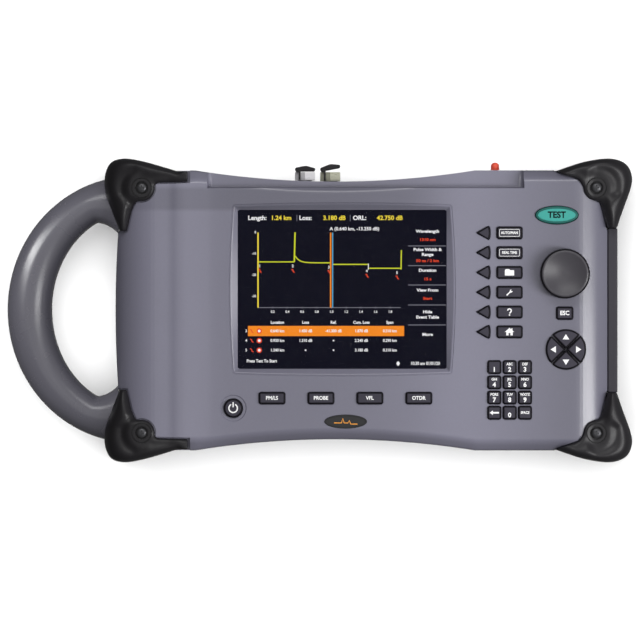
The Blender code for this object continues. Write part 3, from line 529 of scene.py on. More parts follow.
def front_height(x):
    """Height of the front surface at x, away from the edge's chamfer."""
    if x < GRIP_FLAT_X[0]:
        u = min((GRIP_FLAT_X[0] - x) / (GRIP_FLAT_X[0] - LEFT_X), 1.0)
        return GRIP_Z - GRIP_DROP * (1.0 - math.sqrt(1.0 - u * u))
    if x < GRIP_FLAT_X[1]:
        return GRIP_Z
    for x1, z1, x2, z2 in ((GRIP_FLAT_X[1], GRIP_Z, RIDGE_X, RIDGE_Z),
                           (RIDGE_X, RIDGE_Z, PANEL_START_X, PANEL_Z)):
        if x < x2:
            t = (x - x1) / (x2 - x1)
            return z1 + (z2 - z1) * t * t * (3.0 - 2.0 * t)
    if x < ROLL_START_X:
        return PANEL_Z
    length = RIGHT_X - ROLL_START_X
    radius = (length ** 2 + ROLL_DROP ** 2) / (2.0 * ROLL_DROP)
    return PANEL_Z - radius + math.sqrt(radius ** 2 - min(x - ROLL_START_X, length) ** 2)


def edge_height(inset):
    """Height of the rounded front edge, a given inset from the casing's side."""
    roll = 1.4
    rounding = 1.1 * (1.0 - inset / roll) ** 2 if inset < roll else 0.0
    return SHOULDER_Z + inset * EDGE_SLOPE - rounding


def surface_height(x, inset):
    """Smooth lower envelope of the front surface and its edge."""
    a, b, soft = front_height(x), edge_height(inset), 2.6
    h = max(soft - abs(a - b), 0.0) / soft
    return min(a, b) - h * h * soft / 4.0


def fill_across(bm, ring):
    """Fill the casing's innermost ring with strips that run along Y."""
    half, straight = len(ring) // 2, 10
    bm.faces.new([*ring[:straight], *ring[-straight:]])
    for i in range(straight - 1, half - 1):
        bm.faces.new((ring[i], ring[i + 1], ring[-2 - i], ring[-1 - i]))


def casing_solid(name, offset, insets, bottom):
    """Front half of the casing as a solid, its surface moved in by an offset."""
    outline = casing_outline()
    rings = [[(x, y, z) for x, y in grow(outline, -offset - inset)]
             for inset, z in bottom]
    for inset in insets:
        ring = grow(outline, -offset - inset)
        rings.append([(x, y, surface_height(x, inset + offset * 0.4) - offset) for x, y in ring])
    bm = bmesh.new()
    rows = loft(bm, rings, ends=False)
    bm.faces.new(list(reversed(rows[0])))
    fill_across(bm, rows[-1])
    return make_object(name, bm)


def front_blank():
    insets = (0.0, 0.15, 0.4, 0.8, 1.3, 2.0, 2.8, 3.5, 4.1, 4.7, 5.3, 5.9, 6.6, 7.4, 8.2, 9.2)
    return casing_solid("front_shell", 0.0, insets, ((0.5, SEAM_Z + GAP), (0.0, SEAM_Z + 0.9)))


def front_hollow():
    hollow = casing_solid("front_hollow", WALL, (0.0, 1.5, 3.0, 4.5, 6.0), ((0.0, 20.0),))
    return carve(hollow, box("bay_backing", (BAY_X[0] - WALL, BAY_Y - WALL, BAY_Z - WALL),
                             (BAY_X[1] + WALL, 120.0, 90.0)))


def bezel_outline(steps):
    half_x, half_y = (s / 2 + BEZEL_MARGIN for s in SCREEN_SIZE)
    bow = [1.0 - t * t for t in steps]
    right = [(half_x + BEZEL_BOW[0] * b, half_y * t) for t, b in zip(steps, bow)]
    top = [(-half_x * t, half_y + BEZEL_BOW[1] * b) for t, b in zip(steps, bow)]
    return [*right, *top, *[(-x, -y) for x, y in right], *[(-x, -y) for x, y in top]]


def glass_outline(steps):
    half_x, half_y = (s / 2 for s in SCREEN_SIZE)
    right = [(half_x, half_y * t) for t in steps]
    top = [(-half_x * t, half_y) for t in steps]
    return [*right, *top, *[(-x, -y) for x, y in right], *[(-x, -y) for x, y in top]]


def screen_cutter(bm):
    """Opening of the screen, its sloped bezel, and the fine groove round the bezel."""
    steps = [-0.985, -0.95, *[-0.85 + 0.1 * i for i in range(18)], 0.95, 0.985]
    inner = shift(glass_outline(steps), SCREEN_CENTRE)
    outer = shift(bezel_outline(steps), SCREEN_CENTRE)
    stack(bm, (inner, 58.0), (inner, 67.1), (grow(inner, 0.3), 67.4),
          (grow(outer, -1.3), 69.5), (grow(outer, -0.8), 69.8), (grow(outer, -0.3), 69.8),
          (outer, 69.55), (grow(outer, 0.3), 69.6), (grow(outer, 0.5), 70.03),
          (grow(outer, 0.5), 76.0))


def bay_cutter(bm):
    """Connector bay, with a filleted floor and a soft lip."""
    low, high = (BAY_X[0], BAY_Y), (BAY_X[1], 120.0)

    def rectangle(inset_x, inset_y):
        return [(low[0] + inset_x, low[1] + inset_y), (high[0] - inset_x, low[1] + inset_y),
                (high[0] - inset_x, high[1]), (low[0] + inset_x, high[1])]

    floor = [(2.8 * (1.0 - math.sin(a)), 1.0 * (1.0 - math.sin(a)), 2.4 * (1.0 - math.cos(a)))
             for a in (math.radians(18 * k) for k in range(6))]
    levels = [(rectangle(x, y), BAY_Z + z) for x, y, z in floor]
    stack(bm, *levels, (rectangle(0.0, 0.0), 69.2), (rectangle(-0.25, -0.25), 69.8),
          (rectangle(-0.6, -0.6), 70.05), (rectangle(-0.6, -0.6), 90.0))


# Keys

def sector(angle):
    """Quarter of the direction pad, as an outline that depends on its inset."""
    def outline(inset):
        back, radius, corner = DPAD_GAP / 2.0 + inset, DPAD_R - inset, max(0.9 - inset, 0.15)
        reach = math.degrees(math.asin((back + corner) / (radius - corner)))
        points = arc((back * math.sqrt(2.0) + corner * 0.6, 0.0), corner * 0.6, 225.0, 135.0, 4)
        side = 45.0 - reach
        centre = arc((0.0, 0.0), radius - corner, side, side, 1)[0]
        upper = arc(centre, corner, 135.0, side, 5)
        lower = [(x, -y) for x, y in upper]
        rim = arc((0.0, 0.0), radius, -side, side, 14)[1:-1]
        return turn([*reversed(points), *lower, *rim, *reversed(upper)], angle)
    return outline


def arrow_key(inset):
    """Soft key pointing left, its right side bowed."""
    nose, top, right = -4.4 + inset * 1.9, 4.3 - inset * 1.15, 4.4 - inset
    corner = max(0.9 - inset * 0.6, 0.25)
    bow = [(right - 0.45 * t * t, top * 0.8 * t) for t in (-1.0, -0.5, 0.0, 0.5, 1.0)]
    points = [(nose, 0.0), (3.35 - inset * 0.7, -top), *bow, (3.35 - inset * 0.7, top)]
    return soften(points, corner, 3)


def rectangle_key(width, height, radius, steps=6):
    return lambda inset: rounded_rectangle((width - 2 * inset, height - 2 * inset),
                                           max(radius - inset, 0.2), steps)


def round_key(width, height, count):
    return lambda inset: ellipse((width - 2 * inset, height - 2 * inset), count)


def key_table():
    """Every key as (node, centre, outline by inset, lip of its opening)."""
    keys = [("test_key", (152.5, 61.5), round_key(27.4, 11.3, 72), 0.35)]
    rows = [50.0 - 12.77 * i for i in range(6)]
    for name, y in zip(("auto", "real_time", "file", "setup", "help", "home"), rows):
        keys.append((f"{name}_key", (122.0, y), rectangle_key(16.2, 7.6, 1.3), 0.3))
    keys.append(("esc_key", (157.6, -1.8), rectangle_key(10.4, 7.9, 1.3), 0.3))
    for name, angle in (("right", 0.0), ("up", 90.0), ("left", 180.0), ("down", 270.0)):
        keys.append((f"{name}_key", DPAD_CENTRE, sector(angle), 0.1))
    keys.append(("power_key", (-56.2, -63.1), round_key(11.8, 11.8, 56), 0.3))
    for index, name in enumerate(("power_meter", "probe", "fault_locator", "trace")):
        centre = (-31.2 + 31.57 * index, -56.6)
        keys.append((f"{name}_key", centre, rectangle_key(16.6, 7.4, 1.3), 0.3))
    for index, y in enumerate(rows):
        keys.append((f"soft_key_{index + 1}", (105.1, y), arrow_key, 0.3))
    labels = ("1", "2", "3", "4", "5", "6", "7", "8", "9", "back", "0", "space")
    for index, label in enumerate(labels):
        centre = (112.2 + 9.9 * (index % 3), -36.6 - 9.8 * (index // 3))
        keys.append((f"number_key_{label}", centre, rectangle_key(8.5, 8.4, 1.4, 5), 0.15))
    return keys


def key_cutters(bm):
    """Openings of the keys with softened lips and the power key's dish."""
    for node, centre, outline, lip in key_table():
        hole = shift(outline(-GAP), centre)
        wide = shift(outline(-GAP - lip), centre)
        top = front_height(max(centre[0], PANEL_START_X)) + 0.02
        if node == "power_key":
            dish = shift(ellipse((16.2, 16.2), 56), centre)
            brim = shift(ellipse((17.4, 17.4), 56), centre)
            stack(bm, (hole, 60.0), (hole, top - 0.9), (wide, top - 0.5), (dish, top - 0.45),
                  (brim, top), (brim, 76.0))
        elif lip > 0.12:
            stack(bm, (hole, 60.0), (hole, top - lip), (wide, top), (wide, 76.0))
        else:
            stack(bm, (hole, 60.0), (hole, 76.0))


def make_key(node, centre, outline):
    """Key cap with a dark rounded skirt, near-black partly as painted shade for the gap round the key,
    and a lighter, slightly crowned face.
    """
    flange = KEY_FLANGE if centre != DPAD_CENTRE else 0.0
    lip, roll = (1.5, 0.7) if node == "test_key" else (0.85, 0.5)
    levels = [(-flange, KEY_BASE_Z), (-flange, FLANGE_TOP_Z), (0.0, FLANGE_TOP_Z + 0.05)]
    levels += [(roll * (1.0 - math.cos(a)), KEY_TOP_Z - 0.9 + 0.6 * math.sin(a))
               for a in (math.radians(22.5 * k) for k in range(5))]
    levels += [(lip, KEY_TOP_Z - 0.28), (lip + 0.12, KEY_TOP_Z - 0.05), (lip + 0.5, KEY_TOP_Z)]
    key = solid(node + "_cap", *[(shift(outline(inset), centre), z) for inset, z in levels],
                material=lambda band: 1 if band >= 8 else 0)
    # edge: the skirt's near-black material, partly painted shade.
    face, edge = (TEAL, TEAL_SKIRT_AND_SHADE) if node == "test_key" else (KEY_FACE, KEY_SKIRT_AND_SHADE)
    piece(key, BODY_OF[node], (edge, face), (node,), sharp=50.0)


# Legends and the display's picture

def add_text(bm, words, centre, height, z, thickness, weight=0.03, squeeze=1.0, align="CENTER"):
    """Letters as thin solids: cap height in millimetres, centred on a point."""
    curve = bpy.data.curves.new("words", "FONT")
    curve.body = words
    curve.size = height / 0.73
    curve.align_x = align
    curve.align_y = "CENTER"
    curve.resolution_u = 3
    curve.offset = height * weight
    curve.extrude = thickness / 2.0
    holder = bpy.data.objects.new("words", curve)
    bpy.context.scene.collection.objects.link(holder)
    graph = bpy.context.evaluated_depsgraph_get()
    mesh = bpy.data.meshes.new_from_object(holder.evaluated_get(graph))
    mesh.transform(Matrix.Translation((centre[0], centre[1], z))
                   @ Matrix.Diagonal((squeeze, 1.0, 1.0, 1.0)))
    before = set(bm.verts)
    bm.from_mesh(mesh)
    letters = [vert for vert in bm.verts if vert not in before]
    bmesh.ops.remove_doubles(bm, verts=letters, dist=0.002)
    bpy.data.objects.remove(holder, do_unlink=True)
    bpy.data.meshes.remove(mesh)


def add_shape(bm, outline, centre, z, thickness):
    moved = shift(outline, centre)
    stack(bm, (moved, z - thickness / 2.0), (moved, z + thickness / 2.0))


def add_line(bm, points, width, z, thickness, closed=False):
    """Flat ribbon of a given width along a polyline."""
    if closed:
        inner, outer = grow(points, -width / 2.0), grow(points, width / 2.0)
        low, high = z - thickness / 2.0, z + thickness / 2.0
        hoop(bm, [[(x, y, level) for x, y in side]
                  for side, level in ((inner, low), (outer, low), (outer, high), (inner, high))])
        return
    sides = []
    for i, here in enumerate(points):
        before, after = points[max(i - 1, 0)], points[min(i + 1, len(points) - 1)]
        along = (Vector(after) - Vector(before)).normalized()
        sides.append(Vector((-along.y, along.x)) * width / 2.0)
    left = [tuple(Vector(p) + s) for p, s in zip(points, sides)]
    right = [tuple(Vector(p) - s) for p, s in zip(points, sides)]
    add_shape(bm, [*right, *reversed(left)], (0.0, 0.0), z, thickness)


def triangle(size, angle):
    return turn([(size * 0.9, 0.0), (-size * 0.7, size), (-size * 0.7, -size)], angle)


FOLDER = [(-3.0, -2.0), (3.0, -2.0), (3.0, 1.5), (0.4, 1.5), (-0.2, 2.2), (-2.4, 2.2), (-3.0, 1.6)]
HOUSE = [(-2.1, -2.3), (-0.6, -2.3), (-0.6, -0.7), (0.6, -0.7), (0.6, -2.3), (2.1, -2.3),
         (2.1, -0.1), (3.1, -0.1), (1.9, 0.95), (1.9, 2.3), (1.2, 2.3), (1.2, 1.6), (0.0, 2.6),
         (-3.1, -0.1), (-2.1, -0.1)]
BACK_ARROW = [(-3.0, 0.0), (-0.9, 1.5), (-0.9, 0.55), (3.0, 0.55), (3.0, -0.55), (-0.9, -0.55),
              (-0.9, -1.5)]
SPANNER = [(-2.2, -1.7), (-1.5, -2.3), (0.6, -0.2), (1.2, -0.3), (1.9, 0.2), (2.2, 1.0),
           (1.4, 0.6), (0.9, 1.1), (1.3, 1.9), (0.5, 1.6), (0.1, 0.9), (0.1, 0.4)]


WORDS = {"power_meter_key": "PM/LS", "probe_key": "PROBE", "fault_locator_key": "VFL",
         "trace_key": "OTDR", "esc_key": "ESC", "auto_key": "AUTO/MAN",
         "real_time_key": "REAL TIME", "test_key": "TEST"}
WORD_HEIGHTS = {"test_key": 4.1, "esc_key": 2.8, "auto_key": 1.75, "real_time_key": 1.75}
LETTERS = {"2": "ABC", "3": "DEF", "4": "GHI", "5": "JKL", "6": "MNO", "7": "PQRS", "8": "TUV",
           "9": "WXYZ"}
LEGEND_SHAPES = {"file_key": soften(FOLDER, 0.35, 2), "setup_key": soften(SPANNER, 0.3, 2),
                 "home_key": HOUSE, "number_key_back": BACK_ARROW}
PAD_ANGLES = {"right_key": 0.0, "up_key": 90.0, "left_key": 180.0, "down_key": 270.0}


def make_legend(node, centre):
    """Printed legend of one key, if it has one."""
    x, y = centre
    flat = (KEY_TOP_Z + 0.01, 0.06)
    bm = bmesh.new()
    label = node.removeprefix("number_key_")
    if node in WORDS:
        framed = node in ("auto_key", "real_time_key")
        add_text(bm, WORDS[node], centre, WORD_HEIGHTS.get(node, 2.4), *flat,
                 0.05 if node == "test_key" else 0.045, 0.86 if framed else 0.95)
        if framed:
            add_line(bm, shift(rounded_rectangle((12.9, 4.5), 0.6, 3), centre), 0.3, *flat,
                     closed=True)
    elif node in LEGEND_SHAPES:
        add_shape(bm, LEGEND_SHAPES[node], centre, *flat)
    elif node == "help_key":
        add_line(bm, [*arc((x, y + 0.9), 1.15, 180.0, -45.0, 14), (x, y - 0.9)], 0.8, *flat)
        add_shape(bm, ellipse((1.0, 1.0), 16), (x, y - 1.9), *flat)
    elif node == "power_key":
        add_line(bm, arc(centre, 2.75, 90 + 28, 450 - 28, 28), 0.85, *flat)
        add_line(bm, [(x, y + 0.7), (x, y + 3.9)], 0.85, *flat)
    elif node in PAD_ANGLES:
        angle = PAD_ANGLES[node]
        add_shape(bm, shift(triangle(2.15, angle), turn([(8.0, 0.0)], angle)[0]), centre, *flat)
    elif label == "space":
        add_text(bm, "SPACE", centre, 1.7, *flat, 0.045, 0.85)
    elif label != node:
        add_text(bm, label, (x, y - 1.6), 3.0, *flat, 0.05)
        if label in LETTERS:
            add_text(bm, LETTERS[label], (x, y + 1.9), 1.7, *flat, 0.045, 0.9)
    else:
        bm.free()
        return
    ink = DARK_PRINT if node == "test_key" else PRINT
    piece(make_object(node + "_legend", bm), BODY_OF[node], (ink,))


class Picture:
    """Flat picture elements on the display, one mesh for each colour.

    Places are millimetres from the display's centre.
    """

    def __init__(self, z):
        self.z = z
        self.thickness = 0.04
        self.layers = {}

    def layer(self, name):
        return self.layers.setdefault(name, bmesh.new())

    def text(self, name, words, point, height=1.7, weight=0.03, squeeze=0.95, align="CENTER",
             raised=0.06):
        centre = shift([point], SCREEN_CENTRE)[0]
        add_text(self.layer(name), words, centre, height, self.z + raised, self.thickness,
                 weight, squeeze, align)

    def line(self, name, points, width=0.4, raised=0.0):
        add_line(self.layer(name), shift(points, SCREEN_CENTRE), width, self.z + raised,
                 self.thickness)

    def shape(self, name, outline, point, raised=0.0):
        add_shape(self.layer(name), shift(outline, SCREEN_CENTRE), point, self.z + raised,
                  self.thickness)


def draw_picture():
    """Made-up readings of a fibre trace, its table of events and the soft keys' names."""
    picture = Picture(LCD_TOP_Z + 0.05)
    header = (("Length:", -60.8, "white"), ("1.24 km", -46.0, "yellow"),
              ("Loss:", -27.8, "white"), ("3.180 dB", -12.4, "yellow"),
              ("ORL:", 6.9, "white"), ("42.750 dB", 22.4, "yellow"))
    for words, x, colour in header:
        picture.text(colour, words, (x, 46.0), 2.9, 0.035, 1.03, "LEFT")
    for x in (-29.2, 5.2):
        picture.line("grey", [(x, 44.0), (x, 48.0)], 0.35)
    picture.text("white", "A (0.640 km, -13.250 dB)", (8.0, 39.0), 2.2, 0.03, 1.04)

    left, low, high, right = -54.3, -11.8, 36.6, 37.8
    picture.line("grey", [(left, low), (right, low)], 0.45)
    picture.line("yellow", [(left, low), (left, high)], 0.85, 0.05)
    for i in range(1, 10):
        x = left + 9.48 * i
        picture.line("grey", [(x, low - 0.6), (x, low + 0.8)], 0.3)
        picture.text("white", f"{i * 0.2:.1f}", (x, low - 2.7), 1.6)
    for i, words in enumerate(("0", "-10", "-20", "-30")):
        picture.text("white", words, (left - 1.2, high + 0.2 - 13.75 * i), 1.6, align="RIGHT")
    spike = [(-30.9, 17.7), (-30.4, 36.8)]
    decay = [(-30.3 + 23.0 * t, 17.1 + 4.4 * math.exp(-9.0 * t)) for t in [i / 16 for i in range(17)]]
    picture.line("lime", [(left, 17.7), (-30.9, 17.7)], 0.7, 0.05)
    picture.line("lime", spike, 0.95, 0.05)
    picture.line("lime", decay, 0.7, 0.05)
    picture.line("lime", [(-6.0, 16.1), (16.7, 16.1)], 0.7, 0.05)
    picture.line("lime", [(16.8, 13.6), (37.9, 13.6)], 0.7, 0.05)
    picture.line("lime", [(38.0, 12.8), (38.2, 25.3)], 0.75, 0.1)
    picture.line("white", [(16.9, 12.6), (16.9, 16.6)], 0.5, 0.1)
    picture.line("orange", [(-7.4, high), (-7.4, low)], 0.95, 0.15)
    picture.line("blue", [(-6.1, high), (-6.1, low)], 0.6, 0.15)
    events = ((-53.2, 15.2), (-31.9, 15.2), (-8.6, 14.4), (15.9, 12.0), (35.4, 10.9))
    for number, (x, y) in enumerate(events, 1):
        picture.text("white", str(number), (x, y - 0.2), 1.8, 0.04, raised=0.2)
        mark = [(x - 0.9, y - 2.6), (x - 0.1, y - 2.2), (x + 0.3, y - 3.6), (x + 1.1, y - 4.4)]
        picture.line("red", mark, 0.7, 0.2)

    columns = (-41.8, -23.6, -5.6, 12.4, 30.8)
    for words, x in zip(("Location", "Loss", "Ref.", "Cum. Loss", "Span"), columns):
        picture.text("white", words, (x, -21.4), 1.9, 0.045)
    picture.shape("orange_row", rounded_rectangle((100.8, 6.6), 0.15, 1), (-10.4, -26.9))
    rows = (("3", "0.640 km", "1.450 dB", "-41.300 dB", "1.870 dB", "0.310 km"),
            ("4", "0.930 km", "1.310 dB", "", "2.240 dB", "0.290 km"),
            ("5", "1.240 km", "", "", "3.180 dB", "0.310 km"))
    for (number, *values), y in zip(rows, (-26.9, -33.1, -39.3)):
        picture.text("white", number, (-61.9, y), 1.8)
        for words, x in zip(values, columns):
            if words:
                picture.text("white", words, (x, y), 1.9, 0.035, 0.92, raised=0.1)
            else:
                picture.shape("white", ellipse((1.1, 1.1), 12), (x, y))
        picture.shape("red", ellipse((3.4, 3.4), 20), (-53.5, y), 0.05)
        picture.shape("white", ellipse((1.8, 1.8), 14), (-53.5, y), 0.1)
        mark = [(-59.4, y + 1.0), (-58.5, y + 0.6), (-58.1, y - 0.7), (-57.2, y - 1.1)]
        picture.line("red", mark, 0.6, 0.05)
    picture.text("white", "Press Test To Start", (-51.9, -46.3), 2.0, 0.04, 0.9)
    picture.text("white", "10:30 am 01/01/20", (53.6, -47.9), 2.1, 0.035, 0.88)
    lozenge = [(0.0, -1.7), (1.1, -0.3), (1.1, 0.3), (0.0, 1.7), (-1.1, 0.3), (-1.1, -0.3)]
    picture.shape("white", lozenge, (36.1, -47.9))

    menu_x, menu_left, menu_right = 55.1, 42.5, 67.0
    for y in (28.0, 15.3, 2.8, -10.1, -23.0):
        picture.line("grey", [(menu_left, y), (menu_right, y)], 0.5)
    menu = (("Wavelength", 37.4), ("Pulse Width &", 25.6), ("Range", 22.4), ("Duration", 12.2),
            ("View From", -0.6), ("Hide", -14.6), ("Event Table", -18.0), ("More", -29.2))
    for words, y in menu:
        picture.text("white", words, (menu_x, y), 1.95, 0.05, 1.16)
    for words, y in (("1310 nm", 32.0), ("50 ns / 2 km", 18.4), ("15 s", 6.6), ("Start", -5.9)):
        picture.text("red", words, (menu_x, y), 1.8, 0.045, 1.2)
    for name, bm in picture.layers.items():
        ink = INKS[name.removesuffix("_row")]
        piece(make_object("picture_" + name, bm), FIXED, (ink,))


# Casing shells

def make_front_shell():
    shell = carve(front_blank(), front_hollow())
    bm = bmesh.new()
    screen_cutter(bm)
    bay_cutter(bm)
    key_cutters(bm)
    for x, y in SCREW_CENTRES.values():
        add_rod(bm, 2.0, (x, y, SEAM_Z + 5.0), (x, y, 90.0), 24)
    for x in PORT_CENTRES.values():
        add_rod(bm, 5.0, (x, 70.0, PORT_Z), (x, 95.0, PORT_Z), 40)
    add_rod(bm, 1.9, (VFL_X, 80.0, PORT_Z), (VFL_X, 95.0, PORT_Z), 24)
    add_rod(bm, 3.6, (*KNOB_CENTRE, 60.0), (*KNOB_CENTRE, 80.0), 40)
    carve(shell, make_object("openings", bm))
    pad = shift(ellipse((2 * DPAD_R + 0.7,) * 2, 96), DPAD_CENTRE)
    carve(shell, solid("pad_recess", (pad, PANEL_Z - 1.6), (pad, PANEL_Z + 5.0)))
    for name in SCREW_CENTRES:
        around = grow(bumper_outline(name)[0], 0.85)
        recess = solid("bumper_recess", (around, SEAM_Z + 2.0), (around, 85.0))
        carve(shell, carve(recess, casing_outside(-1.2)))
    piece(shell, FIXED, (CASING,), ("front_casing",), sharp=32.0)


def add_recess(bm, outline, flare, depth):
    """Cutter of a shallow recess in the rear face, its sides flared outwards."""
    wide = grow(outline, flare)
    stack(bm, (wide, -5.0), (wide, REAR_Z - 0.01), (outline, REAR_Z + depth))


def make_rear_shell():
    """Rear half with a rounded bottom edge, screw posts, shallow recesses and the door's opening."""
    outline = casing_outline()
    edge = [(-REAR_CHAMFER * (1.0 - math.sin(a)), REAR_Z + REAR_CHAMFER * (1.0 - math.cos(a)))
            for a in (math.radians(15 * k) for k in range(7))]
    shell = solid("rear_shell", *[(grow(outline, inset), z) for inset, z in edge],
                  (outline, SEAM_Z - 0.6), (grow(outline, -0.5), SEAM_Z))
    inner = grow(outline, -WALL)
    carve(shell, solid("rear_hollow", (grow(inner, -2.5), REAR_Z + WALL),
                       (inner, REAR_Z + WALL + 2.5), (inner, SEAM_Z + 9.0)))
    bm = bmesh.new()
    for x, y in SCREW_CENTRES.values():
        add_rod(bm, 4.2, (x, y, REAR_Z + 1.5), (x, y, SEAM_Z - 0.5), 32)
    carve(shell, make_object("posts", bm), operation="UNION")
    bm = bmesh.new()
    for x, y in SCREW_CENTRES.values():
        add_rod(bm, 1.8, (x, y, 20.0), (x, y, SEAM_Z + 5.0), 24)
    door = rounded_rectangle(DOOR_SIZE, 5.0)
    stack(bm, (door, -5.0), (door, REAR_Z + DOOR_THICKNESS + GAP))
    add_recess(bm, shift(rounded_rectangle((58.0, 30.0), 2.0), (120.0, 0.0)), 0.4, 0.5)
    for i in range(9):
        slot = shift(rounded_rectangle((2.2, 34.0), 1.09, 5), (-110.0 + 5.0 * i, 0.0))
        add_recess(bm, slot, 0.3, 0.9)
    carve(shell, make_object("rear_recesses", bm))
    opening = rounded_rectangle([s - 12.0 for s in DOOR_SIZE], 4.0)
    carve(shell, solid("door_opening", (opening, -5.0), (opening, REAR_Z + WALL + 5.0)))
    piece(shell, FIXED, (CASING,), ("rear_casing",), sharp=32.0)


def make_door():
    """Battery door with a rounded rim, finger ribs and two captive screws."""
    outline = rounded_rectangle([s - 2 * GAP for s in DOOR_SIZE], 5.0)
    door = solid("battery_door_cover", (grow(outline, -0.5), REAR_Z), (outline, REAR_Z + 0.5),
                 (outline, REAR_Z + DOOR_THICKNESS))
    bm = bmesh.new()
    for i in range(7):
        rib = shift(rounded_rectangle((30.0, 1.6), 0.79, 4), (0.0, -40.0 + 3.2 * i))
        add_recess(bm, rib, 0.3, 0.6)
    screws = ((-52.0, 38.0), (52.0, 38.0))
    for x, y in screws:
        add_rod(bm, 4.0, (x, y, -5.0), (x, y, REAR_Z + 0.7), 40)
    carve(door, make_object("door_recesses", bm))
    piece(door, FIXED, (CASING,), ("battery_door",), sharp=32.0)
    for index, (x, y) in enumerate(screws, 1):
        profile = [(2.3, REAR_Z + 0.1), (3.0, REAR_Z + 0.35), (3.0, REAR_Z + 0.66)]
        head = turned(f"door_screw_{index}", profile, (x, y, 0.0), 40)
        carve(head, cross((x, y), REAR_Z - 1.0, REAR_Z + 0.5))
        piece(head, FIXED, (SCREW,))


def cross(centre, low, high):
    """Cross recess cutter."""
    half, reach = 0.42, 1.7
    arm = [(half, -reach), (half, -half), (reach, -half)]
    plus = shift([point for k in range(4) for point in turn(arm, 90.0 * k)], centre)
    return solid("cross", (plus, low), (plus, high))


# Handle, bumpers, screws, guard

def handle_sweep(name, distance, start, end, stations, sides):
    """C-shaped grip: an oval section swept round an ellipse, its surface moved out."""
    bm = bmesh.new()
    rings = []
    for i in range(stations + 1):
        angle = math.radians(start + (end - start) * i / stations)
        c, s = math.cos(angle), math.sin(angle)
        outer = Vector((HANDLE_OUTER[0] * c, HANDLE_OUTER[1] * s))
        inner = Vector((HANDLE_INNER[0] * c, HANDLE_INNER[1] * s))
        if abs(inner.x) < HANDLE_ROOT[0]:
            reach = HANDLE_ROOT[1] - ROOT_CURVE * (HANDLE_ROOT[0] - abs(inner.x)) ** 2
            inner.y = math.copysign(min(abs(inner.y), reach), s)
        middle, across = (outer + inner) / 2, (outer - inner) / 2
        across += across.normalized() * distance
        ring = []
        for k in range(sides):
            around = 2.0 * math.pi * k / sides
            u, w = (math.copysign(abs(part) ** HANDLE_ROUNDNESS, part)
                    for part in (math.cos(around), math.sin(around)))
            point = middle + across * u
            ring.append((HANDLE_CENTRE[0] + point.x, HANDLE_CENTRE[1] + point.y,
                         HANDLE_Z + (HANDLE_HALF_DEPTH + distance) * w))
        rings.append(ring)
    loft(bm, rings)
    return make_object(name, bm)


def casing_outside(distance):
    """Whole casing as one solid, moved out by a distance, to cut neighbours to its shape."""
    outline = casing_outline()
    insets = (0.0, 0.4, 1.3, 2.8, 4.1, 5.3, 6.6, 8.2)
    rings = [[(x, y, REAR_Z - distance) for x, y in grow(outline, distance - REAR_CHAMFER)]]
    rings.append([(x, y, REAR_Z + REAR_CHAMFER) for x, y in grow(outline, distance)])
    for inset in insets:
        ring = grow(outline, distance - inset)
        rings.append([(x, y, surface_height(x, inset) + distance) for x, y in ring])
    bm = bmesh.new()
    rows = loft(bm, rings, ends=False)
    bm.faces.new(list(reversed(rows[0])))
    fill_across(bm, rows[-1])
    return make_object("casing_outside", bm)


def make_grip():
    grip = handle_sweep("grip", 0.0, 92.0, 268.0, 110, 48)
    carve(grip, casing_outside(GAP))
    piece(grip, FIXED, (HANDLE,), ("carry_handle",), sharp=40.0)


ARM_END_X, LIMB_END_Y = -85.7, 53.3
BUMPER_VOXEL, BUMPER_BLANK_Z = 1.2, 80.0
LEFT_OUTER = [(-92.0, 89.7), (-104.0, 93.4), (-116.0, 96.6), (-127.0, 98.1), (-135.4, 95.4),
              (-139.2, 87.0), (-138.9, 76.5), (-134.6, 64.0), (-129.6, 51.2)]
RIGHT_OUTER = [(191.3, LIMB_END_Y - 0.8), (195.2, 64.0), (200.3, 78.0), (201.4, 86.5), (197.4, 94.6),
               (187.0, 98.1), (172.0, 96.3), (160.5, 92.9), (151.4, 89.7)]


def bumper_outline(name):
    """(plan outline, its outer edge, its edge on the casing) of a bumper."""
    if "left" in name:
        outer = smooth(LEFT_OUTER, 8)
        boss = arc(SCREW_CENTRES["top_left"], BOSS_R, -115.0, 22.0, 16)
        inner = [(-124.9, 51.2), (-121.8, 64.0), *boss, (ARM_END_X + 0.8, 82.9)]
        outline = [(ARM_END_X + 0.8, 89.7), *outer, *inner]
    else:
        outer = smooth(RIGHT_OUTER, 8)
        boss = arc(SCREW_CENTRES["top_right"], BOSS_R, 178.0, 285.0, 14)
        inner = [(166.5, 84.6), *boss, (182.4, 64.0), (185.8, LIMB_END_Y - 0.8)]
        outline = [*outer, *inner]
    if "bottom" in name:
        return mirror_y(outline), mirror_y(outer), mirror_y(inner)
    return outline, outer, inner


def bumper_height(x):
    """Top of the bumpers along X."""
    if x < -103.0:
        a = math.asin(min((-103.0 - x) / 38.0, 0.97))
        return 73.6 - 15.0 * (1.0 - math.cos(a))
    if x > 165.0:
        a = math.asin(min((x - 165.0) / 38.0, 0.97))
        return 72.4 - 12.0 * (1.0 - math.cos(a))
    for x1, z1, x2, z2 in ((-103.0, 73.6, RIDGE_X, RIDGE_Z + 2.4),
                           (RIDGE_X, RIDGE_Z + 2.4, PANEL_START_X, PANEL_Z + 2.4)):
        if x < x2:
            return z1 + (z2 - z1) * (x - x1) / (x2 - x1)
    return PANEL_Z + 2.4


def distance_to(point, line):
    """Distance from a point to an open polyline."""
    best = 1e9
    for a, b in zip(line, line[1:]):
        ax, ay = a
        dx, dy = b[0] - ax, b[1] - ay
        t = ((point[0] - ax) * dx + (point[1] - ay) * dy) / max(dx * dx + dy * dy, 1e-9)
        t = min(max(t, 0.0), 1.0)
        best = min(best, math.hypot(point[0] - ax - dx * t, point[1] - ay - dy * t))
    return best


